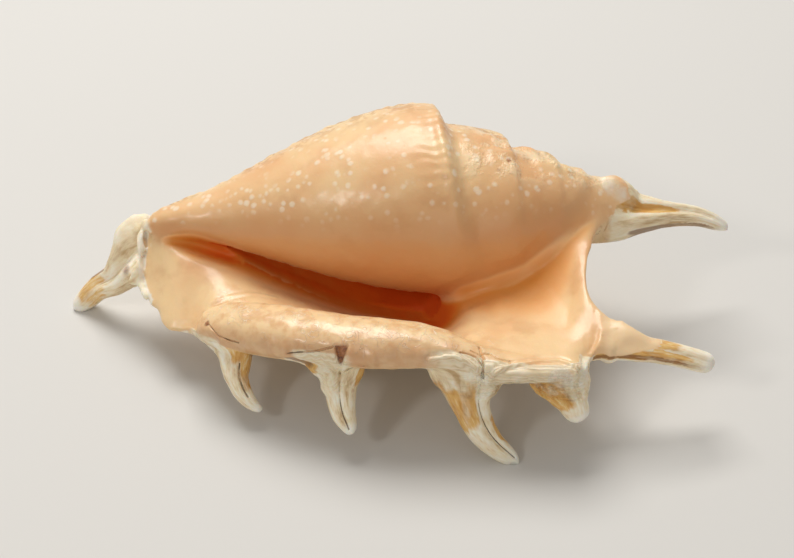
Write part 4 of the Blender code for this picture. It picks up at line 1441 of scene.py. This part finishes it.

# %% The mouth's colour and painted shade
THROAT_OUT = (0.34, 0.02)
FLANGE_POINTS = (10, 11.5)
FLANGE_FURTHER = 0.34
FLANGE_PALER = 0.25
INSIDE_DEPTH = (0.0012, 0.0032)
INSIDE_X = ((0.016, 0.010), (-0.056, -0.050))
SLIT_SHADE_X = ((-0.0530, -0.0490), (-0.0300, -0.0370))
# Strength of the painted shade along the crease and in the slit's corner.
CREASE_SHADE = 0.55
SLIT_CORNER_SHADE = 0.88


def mouth_orange_and_shade(points, at, on_coil, upper, under):
    """How deep the orange and the painted shade are: the most of what the throat, the hollow, the
    slit, the crease behind the lip and the slit's corner give. The throat is partly the lip's own
    orange and partly painted shade; the hollow, the slit, the crease and the corner are painted
    shade. Each fades with a distance."""
    x = points[:, 0]
    flange = ease(at.point, *FLANGE_POINTS)
    throat = ease(at.out, THROAT_OUT[0] + FLANGE_FURTHER * flange, THROAT_OUT[1])
    throat = upper * throat * (1 - FLANGE_PALER * flange) * ease(at.x, 0.0460, 0.0430)
    inside = ease(at.depth, *INSIDE_DEPTH) * between(at.x, *INSIDE_X)
    slit_path = seen_along(SLIT_FRONT, SLIT_WAY)
    slit = mound(path_distance(seen_along(points, SLIT_WAY), slit_path), 0, slit_width(x))
    slit = ease(slit, 0.10, 0.80) * ease(path_distance(points, SLIT_FRONT), 0.0085, 0.0065)
    slit = slit * between(x, *SLIT_SHADE_X) * (0.52 + 0.3 * ease(x, -0.049, -0.036))
    crease = CREASE_SHADE * ease(path_distance(points, CREASE), 0.0046, 0.0006)
    crease = crease * ease(x, 0.042, 0.030)
    corner = SLIT_CORNER_SHADE * ease(path_distance(points, SLIT_CORNER), 0.0160, 0.0010)
    corner = corner * (1 - 0.85 * on_coil) * ease(at.from_edge, 0.012, 0.018) * (1 - under)
    return np.maximum.reduce([throat, inside, slit, crease, corner])


# The slit's corner is painted shade.
print("the slit's corner glows at", SLIT_CORNER_SHADE)

# %% Worn edges, spots and cracks
SPOTS = (
    ((0.0238, 0.0078, 0.0444), 0.0009, 0.8),
    ((0.0217, 0.0049, 0.0438), 0.0008, 0.7),
    ((0.0248, 0.0114, 0.0444), 0.0010, 0.5),
    ((0.0102, 0.0004, 0.0448), 0.0013, 0.45),
    ((0.0112, 0.0060, 0.0478), 0.0010, 0.35),
    ((0.0267, 0.0166, 0.0417), 0.0011, 0.4),
    ((-0.0598, 0.0073, 0.0150), 0.0016, 0.55),
    ((-0.0402, -0.0152, 0.0185), 0.0008, 0.95),
)
BLOTCH = np.array((0.0330, -0.0358, 0.0205))
BLOTCH_REACH = (0.0034, 0.0018)
RIM_POINTS = ((9.4, 10.9), (13.7, 13.1))
RIM_REACH = (0.0030, 0.0018)
# How far each layered patch lies from its spine's nearest edge point, as a share of the edge.
ROOT_OFFSETS = {"fifth": 0.012, "sixth": -0.010}
ROOT_PATCH_WIDTH = 0.040
ROOT_PATCH_REACH = (0.0016, 0.0007)
THIN_EDGE_REACH = (0.0008, 0.0002)
BEAD_REACH = (0.0019, 0.0010)
KNOB_REACH = (0.0046, 0.0030)
KNOB_WHITE = 0.45


def layered_rim(at):
    """Where the rim shows its layers: between two places along the lip, and beside the roots of
    two spines."""
    rim = between(at.point, *RIM_POINTS) * ease(at.from_edge, *RIM_REACH)
    for name, offset in ROOT_OFFSETS.items():
        beside = mound(at.along, lip_share(name) + offset, ROOT_PATCH_WIDTH)
        patch = ease(beside, 0.15, 0.9) * ease(at.from_edge, *ROOT_PATCH_REACH)
        rim = np.maximum(rim, patch)
    return rim * ease(at.off_sheet, 0.0065, 0.0050)


def worn_edge(at, on_lip, spine_mask):
    """Where white lime shows: along the lip's thin edges, on the bead and a little on the knob."""
    thin = on_lip * ease(at.from_edge, *THIN_EDGE_REACH)
    thin = thin * (1 - between(at.point, (5.0, 5.8), (10.6, 10.0)))
    thin = thin * np.maximum(ease(at.point, 5.2, 4.8), ease(at.point, 17.2, 17.8))
    bead = ease(path_distance(at.own, np.array(BEAD)[:, :3]), *BEAD_REACH)
    knob = ease(path_distance(at.own, np.array(KNOB)[1:, :3]), *KNOB_REACH)
    knob = KNOB_WHITE * knob * ease(at.own[:, 0], 0.0425, 0.0450) * (1 - spine_mask)
    return np.maximum.reduce([thin, bead, knob])


def rusty_spots(points):
    """1 in the pit, and each spot's own strength in its middle, fading outwards."""
    spots = in_pit(points)
    for place, reach, strength in SPOTS:
        away = np.linalg.norm(points - np.array(place), axis=1)
        spots = np.maximum(spots, strength * ease(away, 1.5 * reach, 0.3 * reach))
    return spots


print(len(SPOTS), "spots lie on the shell")

# %% One number per point for each mark
ON_COIL = (0.0030, 0.0012)
ON_LIP = (0.0080, 0.0060)
PAD_MARK_POINTS = ((5.2, 6.0), (11.6, 10.4))
PAD_REACH = (0.0150, 0.0115)
BAND_REACH = (0.0050, 0.0010)
# Angles of the coil's lower front, which is painted a darker tan as shade.
BELLY_SHADE_ANGLES = ((80, 0), (-90, -60))
WEB_SAMPLES = (50, 30)
# The crack mark is 0 in a crack's middle and reaches 1 at this many of its widths.
CRACK_WIDTHS = 1 / 0.3


def web_distance(own):
    """Distance to the nearest of a grid of places on the web's sheet."""
    shares, across = np.meshgrid(*(np.linspace(0, 1, count) for count in WEB_SAMPLES))
    samples = web_sheet(shares.ravel(), 2 * across.ravel() - 1)
    return np.linalg.norm(own - samples[nearest_sample(own, samples)], axis=1)


def marks(points, normals):
    """All marks as a dictionary of arrays. Most go from 0 to 1. Fibre is a place on a spine for
    streaky noise, crack is a distance over the crack's width, and layer is a height in mm."""
    at = Places(points)
    off_web = web_distance(at.own)
    on_web = ease(off_web, 0.0024, 0.0015) * ease(normals[:, 2], 0.05, 0.35)
    made = spine_marks(points, at, on_web)
    on_coil = ease(np.abs(at.depth), *ON_COIL)
    on_lip = ease(at.off_sheet, *ON_LIP) * (1 - on_coil) * (1 - made["spine"])
    upper = on_lip * ease(at.height, -0.0002, 0.0004)
    under = (on_lip - upper) * ease(at.height, 0.0, -0.0008)
    pad = upper * between(at.point, *PAD_MARK_POINTS) * ease(at.from_edge, *PAD_REACH)
    glow = mouth_orange_and_shade(points, at, on_coil, upper, under)
    # Painted shade: the coil's lower front, away from the light, is darker.
    warm = on_coil * at.cover * between(at.signed, *BELLY_SHADE_ANGLES) * ease(at.x, 0.0440, 0.0400)
    bare = np.clip(on_coil * (1 - at.cover) + under, 0, 1) * (1 - glow)
    bare = bare * np.maximum(ease(off_web, 0.0020, 0.0034), ease(normals[:, 2], 0.2, -0.2))
    spire = on_coil * at.cover * ease(at.x, 0.010, 0.018) * ease(at.signed, 40, 70)
    to_cracks = [line_distance(points, normals, path) / width for path, width, _ in CRACKS]
    # The mouth's orange, with painted shade in its hollow, slit and crease.
    made["glow"] = glow
    made["warm"] = warm
    made["bare"] = bare
    made["pad"] = pad
    made["band"] = pad * ease(at.from_edge, *BAND_REACH)
    made["rim"] = layered_rim(at) * (1 - on_coil)
    made["layer"] = (at.height - 0.9 * at.from_edge) * 1000
    made["coil"] = on_coil
    made["edge"] = worn_edge(at, on_lip, made["spine"])
    made["crack"] = np.minimum(np.minimum.reduce(to_cracks) / CRACK_WIDTHS, 1)
    made["spots"] = rusty_spots(points)
    made["blotch"] = ease(np.linalg.norm(points - BLOTCH, axis=1), *BLOTCH_REACH)
    # The web's top: partly its own cream, partly painted light that lifts its shade.
    made["web"] = on_web * ease(at.own[:, 0], 0.0400, 0.0440)
    made["spire"] = spire
    return made


points = read_points(mesh)
made_marks = marks(points, read_normals(mesh))
for name, values in made_marks.items():
    kind, key = ("FLOAT", "value") if values.ndim == 1 else ("FLOAT_VECTOR", "vector")
    layer = mesh.attributes.new(name, kind, "POINT")
    layer.data.foreach_set(key, values.astype(np.float32).ravel())
print("marks:", ", ".join(made_marks))

# %% [markdown]
# ## Shader maths as plain expressions
#
# A finish is a chain of small sums on numbers: noise plus a mark, less a threshold, times a
# strength. `Number` wraps a socket so that such sums are written as Python, and each operator
# adds its Math node. `Finish` adds any other node with one method.

# %% Numbers and nodes
class Number:
    """A socket that carries a number. Sums and products of it add Math nodes."""

    def __init__(self, finish, socket):
        self.finish = finish
        self.socket = socket

    def maths(self, operation, first, second):
        """Add a Math node for two values, each a number or a Number."""
        node = self.finish.add(
            "ShaderNodeMath", {"operation": operation}, {0: first, 1: second}
        )
        return Number(self.finish, node.outputs[0])

    def __add__(self, other):
        return self.maths("ADD", self, other)

    def __radd__(self, other):
        return self.maths("ADD", other, self)

    def __sub__(self, other):
        return self.maths("SUBTRACT", self, other)

    def __rsub__(self, other):
        return self.maths("SUBTRACT", other, self)

    def __mul__(self, other):
        return self.maths("MULTIPLY", self, other)

    def __rmul__(self, other):
        return self.maths("MULTIPLY", other, self)


class Finish:
    """A material and its nodes."""

    def __init__(self, name):
        self.material = bpy.data.materials.new(name)
        self.material.use_nodes = True
        self.nodes = self.material.node_tree.nodes
        self.links = self.material.node_tree.links
        self.nodes.clear()

    def add(self, kind, settings=None, inputs=None):
        """Add a node of a type, set its settings, then fill its sockets with values or links."""
        node = self.nodes.new(kind)
        for key, value in (settings or {}).items():
            if key == "stops":
                ramp = node.color_ramp.elements
                while len(ramp) < len(value):
                    ramp.new(0.5)
                for stop, (place, colour) in zip(ramp, value):
                    stop.position = place
                    stop.color = colour
            else:
                setattr(node, key, value)
        for key, value in (inputs or {}).items():
            socket = node.inputs[key]
            if isinstance(value, Number):
                self.links.new(value.socket, socket)
            elif isinstance(value, bpy.types.NodeSocket):
                self.links.new(value, socket)
            else:
                socket.default_value = value
        return node

    def number(self, node, output=0):
        """An output of a node as a Number."""
        return Number(self, node.outputs[output])

    def mark(self, name):
        """A mark of the mesh, read as a Number."""
        return self.number(self.add("ShaderNodeAttribute", {"attribute_name": name}), "Fac")

    def ramp(self, share, *stops):
        """A colour that passes through the stops, each a place from 0 to 1 and a colour."""
        return self.add("ShaderNodeValToRGB", {"stops": stops}, {"Fac": share}).outputs["Color"]

    def sine(self, value):
        """Sine of a Number."""
        return self.number(self.add("ShaderNodeMath", {"operation": "SINE"}, {0: value}))

    def gap(self, value, middle):
        """How far a Number lies from a middle value, never negative."""
        away = value - middle
        return self.number(self.add("ShaderNodeMath", {"operation": "ABSOLUTE"}, {0: away}))

    def step(self, value, low, high):
        """A soft step of a Number: 0 at low, 1 at high."""
        node = self.add(
            "ShaderNodeMapRange",
            {"interpolation_type": "SMOOTHSTEP"},
            {"Value": value, "From Min": low, "From Max": high, "To Min": 0.0, "To Max": 1.0},
        )
        return self.number(node)

    def mix(self, share, first, second):
        """Blend two colours by a share."""
        node = self.add(
            "ShaderNodeMix", {"data_type": "RGBA"}, {0: share, 6: first, 7: second}
        )
        return node.outputs[2]

    def noise(self, places, size, detail=3.0, rough=0.55):
        """Noise of lumps of a size in metres, about 0.5 in the middle."""
        node = self.add(
            "ShaderNodeTexNoise",
            {},
            {"Vector": places, "Scale": 1 / size, "Detail": detail, "Roughness": rough},
        )
        return self.number(node, "Fac")


def paint(red, green, blue):
    """A colour given as it looks on a screen, 0 to 255, turned to the shader's linear values."""
    shares = np.array([red, green, blue]) / 255
    linear = np.where(shares <= 0.04045, shares / 12.92, ((shares + 0.055) / 1.055) ** 2.4)
    return (*(float(value) for value in linear), 1.0)


print("a mid peach in linear values is", [round(v, 2) for v in paint(236, 196, 150)])

# %% [markdown]
# ## The glaze
#
# The callus is smooth and peach, with cream clouds and a white frosting where sand has worn it.
# Its lower front, which faces away from the light, is painted a darker tan as shade.
# Towards the mouth it deepens from cream through orange to a red brown: partly the lip's own
# orange, partly painted shade in the hollow, the slit and the crease. Each layer below is laid
# over the last one with a mask made from a mark and some noise.

# %% The glaze, the mouth and the back
PEACH = paint(234, 184, 132)
CREAM = paint(242, 207, 156)
TAN = paint(206, 152, 102)
FROST = paint(250, 236, 212)
BELLY_SHADE_TAN = paint(214, 148, 88)
CHALK = paint(246, 240, 226)

finish = Finish("glazed_shell")
where = finish.add("ShaderNodeTexCoord").outputs["Object"]
broad = finish.noise(where, 0.020, 2.0)
cloud = finish.noise(where, 0.0075, 3.0)
fine = finish.noise(where, 0.0030, 4.0)
grain = finish.noise(where, 0.0009, 3.0, 0.7)

colour = finish.mix(finish.step(broad, 0.35, 0.65), PEACH, CREAM)
colour = finish.mix(finish.step(cloud, 0.5, 0.72) * 0.35, colour, TAN)
# Painted shade on the coil's lower front: a darker tan.
warm = finish.mark("warm")
colour = finish.mix(warm * 0.75, colour, BELLY_SHADE_TAN)
# The mouth's orange, with painted shade in the hollow, the slit and the crease.
glow = finish.mark("glow")
cells = finish.add("ShaderNodeTexVoronoi", {}, {"Vector": where, "Scale": 1 / 0.0021})
dots = finish.step(finish.number(cells, "Distance") + 0.7 * (fine - 0.5), 0.40, 0.12)
dry = finish.step(cloud + 0.4 * broad, 0.56, 0.76) * finish.step(glow + warm, 0.9, 0.3)
frost = dots * dry * finish.mark("coil")
colour = finish.mix(frost * 0.6, colour, FROST)

spire = finish.mark("spire")
worn = finish.step(finish.noise(where, 0.0055, 4.0, 0.65), 0.44, 0.62)
colour = finish.mix(spire * worn * 0.55, colour, paint(250, 232, 196))
rust = finish.step(finish.noise(where, 0.0042, 4.0, 0.7), 0.60, 0.70)
colour = finish.mix(spire * rust * 0.45, colour, paint(196, 132, 72))

bare = finish.mark("bare")
streaks = finish.add(
    "ShaderNodeTexNoise", {}, {"Vector": where, "Scale": 190.0, "Detail": 5.0, "Distortion": 1.6}
)
mottle = finish.step(finish.number(streaks, "Fac") + 0.3 * grain, 0.64, 0.76)
back = finish.mix(mottle * 0.8, paint(234, 208, 164), paint(166, 114, 66))
back = finish.mix(finish.step(fine, 0.55, 0.7) * 0.6, back, CHALK)
colour = finish.mix(bare * 0.9, colour, back)

# Cream through orange to red brown: the darker end is painted shade.
mouth = finish.ramp(
    glow + 0.10 * broad - 0.05,
    (0.00, paint(246, 210, 158)),
    (0.28, paint(244, 184, 120)),
    (0.55, paint(228, 150, 62)),
    (0.80, paint(216, 110, 28)),
    (1.00, paint(196, 72, 12)),
)
colour = finish.mix(finish.step(glow, 0.02, 0.25), colour, mouth)
print("glaze, mouth and back:", len(finish.nodes), "nodes")

# %% [markdown]
# ## The pad and the layered rim
#
# The pad's skin shrank as it set, so it carries a net of fine pale wrinkles, and its lower half
# is a dull pink tan. Below it the rim shows the layers it was laid down in, as dark lines at even
# heights, bent a little by noise.

# %% The pad and the rim
LAYER_STEP = 0.60
pad = finish.mark("pad")
bent = finish.add(
    "ShaderNodeTexNoise", {}, {"Vector": where, "Scale": 420.0, "Detail": 2.0, "Distortion": 0.8}
)
ridged = finish.gap(finish.number(bent, "Fac"), 0.5)
wrinkles = finish.step(ridged, 0.024, 0.004) * finish.step(cloud, 0.46, 0.58)
skin = finish.mix(finish.step(fine, 0.40, 0.65), paint(244, 214, 166), paint(224, 180, 130))
colour = finish.mix(pad * 0.8, colour, skin)
colour = finish.mix(pad * wrinkles * 0.45, colour, FROST)
band = finish.mark("band") * (0.25 + 0.8 * cloud)
colour = finish.mix(band, colour, paint(206, 156, 112))

rim = finish.mark("rim")
layers = finish.sine(finish.mark("layer") * (2 * math.pi / LAYER_STEP) + 2.4 * cloud + 1.2 * fine)
layered = finish.ramp(
    0.62 + 0.16 * layers + 0.7 * (fine - 0.5),
    (0.0, paint(136, 102, 68)),
    (0.25, paint(204, 176, 134)),
    (0.55, paint(234, 214, 178)),
    (1.0, paint(248, 236, 212)),
)
colour = finish.mix(finish.step(rim + 0.3 * fine, 0.35, 0.75), colour, layered)
# The web's top is mixed towards cream: partly its own colour, partly painted light lifting its
# shade.
colour = finish.mix(finish.mark("web") * 0.6, colour, paint(250, 226, 184))
edge = finish.step(finish.mark("edge") + 0.6 * (fine - 0.5), 0.15, 0.75)
colour = finish.mix(edge * 0.85, colour, CHALK)
print("pad and rim:", len(finish.nodes), "nodes")

# %% [markdown]
# ## The spines
#
# A spine is chalky and bone white. Stains run along its fibres, so the noise is read in the
# spine's own places, round it and along it, and is far longer along than round. Where two folds
# met there is a dark seam.

# %% The spines, stains and cracks
DARK = paint(92, 60, 38)
GREY = paint(196, 184, 164)
spine_mark = finish.mark("spine")
fibre = finish.add("ShaderNodeAttribute", {"attribute_name": "fibre"}).outputs["Vector"]
streak = finish.noise(fibre, 1.6, 4.0, 0.5)
thread = finish.noise(fibre, 0.5, 4.0, 0.6)
chalky = finish.ramp(
    0.6 * streak + 0.4 * thread,
    (0.34, paint(204, 172, 126)),
    (0.46, paint(240, 222, 186)),
    (0.60, paint(252, 244, 224)),
)
ageing = finish.ramp(
    0.6 * streak + 0.4 * thread,
    (0.32, paint(160, 104, 44)),
    (0.46, paint(212, 154, 74)),
    (0.58, paint(232, 190, 118)),
    (0.70, paint(248, 230, 194)),
)
gold = finish.step(finish.mark("gold") + 1.9 * (streak - 0.5) - 0.3 * dry, 0.30, 0.80)
lime = finish.mix(gold, chalky, ageing)
brown = finish.step(finish.mark("brown") + 1.8 * (streak - 0.5), 0.45, 0.95)
lime = finish.mix(brown * 0.7, lime, paint(122, 70, 30))
tips = finish.step(finish.mark("tipward") + 0.2 * fine, 0.96, 1.08)
lime = finish.mix(tips, lime, CHALK)
limy = finish.step(spine_mark + 0.3 * fine, 0.50, 0.85)
colour = finish.mix(limy, colour, lime)
blotch = finish.step(finish.mark("blotch") + 0.5 * fine, 0.6, 0.9)
colour = finish.mix(blotch * 0.5, colour, finish.mix(finish.step(grain, 0.3, 0.7), GREY, CHALK))
spots = finish.step(finish.mark("spots") + 0.7 * (fine - 0.5), 0.18, 0.85)
rusty = finish.mix(finish.step(grain, 0.4, 0.6), paint(112, 56, 30), paint(176, 110, 62))
colour = finish.mix(spots * 0.9, colour, rusty)
dark = 0.75 * finish.step(finish.mark("crack") + 0.5 * (fine - 0.5), 0.32, 0.08)
colour = finish.mix(dark, colour, DARK)
print("spines and cracks:", len(finish.nodes), "nodes")

# %% [markdown]
# ## Gloss and fine relief
#
# Callus shines, lime and the bare back don't. The finest relief is a bump whose heights are real
# sizes in metres. Thin shell lets some light through, so there's a little scattering below the
# surface. The mouth's deep parts also get a faint painted orange glow from emission.

# %% Gloss, relief and scattering
dull = bare + spine_mark - bare * spine_mark
rough = 0.33 + 0.24 * dull + 0.12 * grain - 0.06 * pad + 0.2 * dark + 0.15 * rim + 0.3 * glow
height = (
    0.00004 * frost + 0.00010 * fine + 0.00004 * grain + 0.00010 * spine_mark * thread
    + 0.00010 * pad * wrinkles + 0.00005 * pad * fine + 0.00020 * bare * fine
    + 0.00010 * rim * layers + 0.0003 * spire * worn
)
bumps = finish.add("ShaderNodeBump", {}, {"Strength": 0.8, "Distance": 1.0, "Height": height})
# A painted glow: faint orange emission where the mouth is deepest.
painted_glow = finish.mix(finish.step(glow, 0.35, 1.0), paint(0, 0, 0), paint(206, 84, 12))
surface = finish.add(
    "ShaderNodeBsdfPrincipled",
    {},
    {
        "Base Color": colour,
        "Roughness": rough,
        "Coat Weight": 0.30 * (1 - dull) * (1 - 0.9 * glow),
        "Coat Roughness": 0.20,
        "Subsurface Weight": 0.18,
        "Subsurface Radius": (1.0, 0.5, 0.25),
        "Subsurface Scale": 0.0025,
        "Emission Color": painted_glow,
        "Emission Strength": 0.09,
        "Normal": bumps.outputs["Normal"],
    },
)
finish.add("ShaderNodeOutputMaterial", {}, {"Surface": surface.outputs["BSDF"]})
conch.data.materials.append(finish.material)
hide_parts("conch_shell")
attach(conch, "root")
print("the finish has", len(finish.nodes), "nodes")

# %% [markdown]
# ## Floor, light and camera
#
# A plain pale floor, a large soft light above and behind, a weak small lamp in front on the left
# for the spark on the glaze, a faint low one for the belly's shade, and an even grey sky. The
# camera looks along Y and 38 degrees down.

# %% Floor
floor_mesh = bpy.data.meshes.new("floor")
FLOOR_SIZE = 3.0
floor_corners = FLOOR_SIZE * np.array([(-1, -1, 0), (1, -1, 0), (1, 1, 0), (-1, 1, 0)])
floor_mesh.from_pydata(floor_corners, [], [(0, 1, 2, 3)])
floor = bpy.data.objects.new("floor", floor_mesh)
bpy.context.scene.collection.objects.link(floor)
matte = Finish("pale_floor")
plain = matte.add(
    "ShaderNodeBsdfPrincipled", {}, {"Base Color": paint(214, 212, 208), "Roughness": 0.8}
)
matte.add("ShaderNodeOutputMaterial", {}, {"Surface": plain.outputs["BSDF"]})
floor_mesh.materials.append(matte.material)
print("floor", FLOOR_SIZE * 2, "m wide")

# %% Light
TARGET = Vector((0, 0.0184, 0.004))
# For each lamp: its place, size in metres, power in watts and tint.
LAMPS = {
    "overhead": ((-0.14, 0.40, 0.78), 0.50, 6.5, (1.0, 0.98, 0.95)),
    "low_front": ((0.10, -0.50, 0.14), 0.25, 0.16, (1.0, 0.97, 0.92)),
    "front_spark": ((-0.45, -0.42, 0.50), 0.10, 0.8, (1.0, 0.97, 0.92)),
}
SKY_TINT = (1.0, 0.98, 0.95, 1)
SKY_STRENGTH = 0.34


def soft_light(name, place, size, power, tint):
    """A square lamp that faces the shell."""
    data = bpy.data.lights.new(name, "AREA")
    data.size = size
    data.energy = power
    data.color = tint
    lamp = bpy.data.objects.new(name, data)
    lamp.location = place
    lamp.rotation_euler = (TARGET - Vector(place)).to_track_quat("-Z", "Y").to_euler()
    bpy.context.scene.collection.objects.link(lamp)


for name, lamp_numbers in LAMPS.items():
    soft_light(name, *lamp_numbers)
world = bpy.data.worlds.new("sky")
bpy.context.scene.world = world
world.use_nodes = True
sky = world.node_tree.nodes["Background"]
sky.inputs["Color"].default_value = SKY_TINT
sky.inputs["Strength"].default_value = SKY_STRENGTH
print(len(LAMPS), "lamps and the sky are set")

# %% Camera
DISTANCE = 0.430
DOWN = math.radians(38)
PIXELS_PER_METRE = 4350
FRAME_WIDTH = 794
SENSOR_WIDTH = 36.0
camera_data = bpy.data.cameras.new("camera")
camera_data.sensor_width = SENSOR_WIDTH
camera_data.lens = PIXELS_PER_METRE * DISTANCE / FRAME_WIDTH * SENSOR_WIDTH
camera_data.clip_start = 0.01
camera = bpy.data.objects.new("camera", camera_data)
camera.location = TARGET - DISTANCE * Vector((0, math.cos(DOWN), -math.sin(DOWN)))
camera.rotation_euler = (math.pi / 2 - DOWN, 0, 0)
bpy.context.scene.collection.objects.link(camera)
bpy.context.scene.camera = camera
bpy.context.scene.view_settings.view_transform = "Standard"
print("camera lens", round(camera_data.lens, 1), "mm")
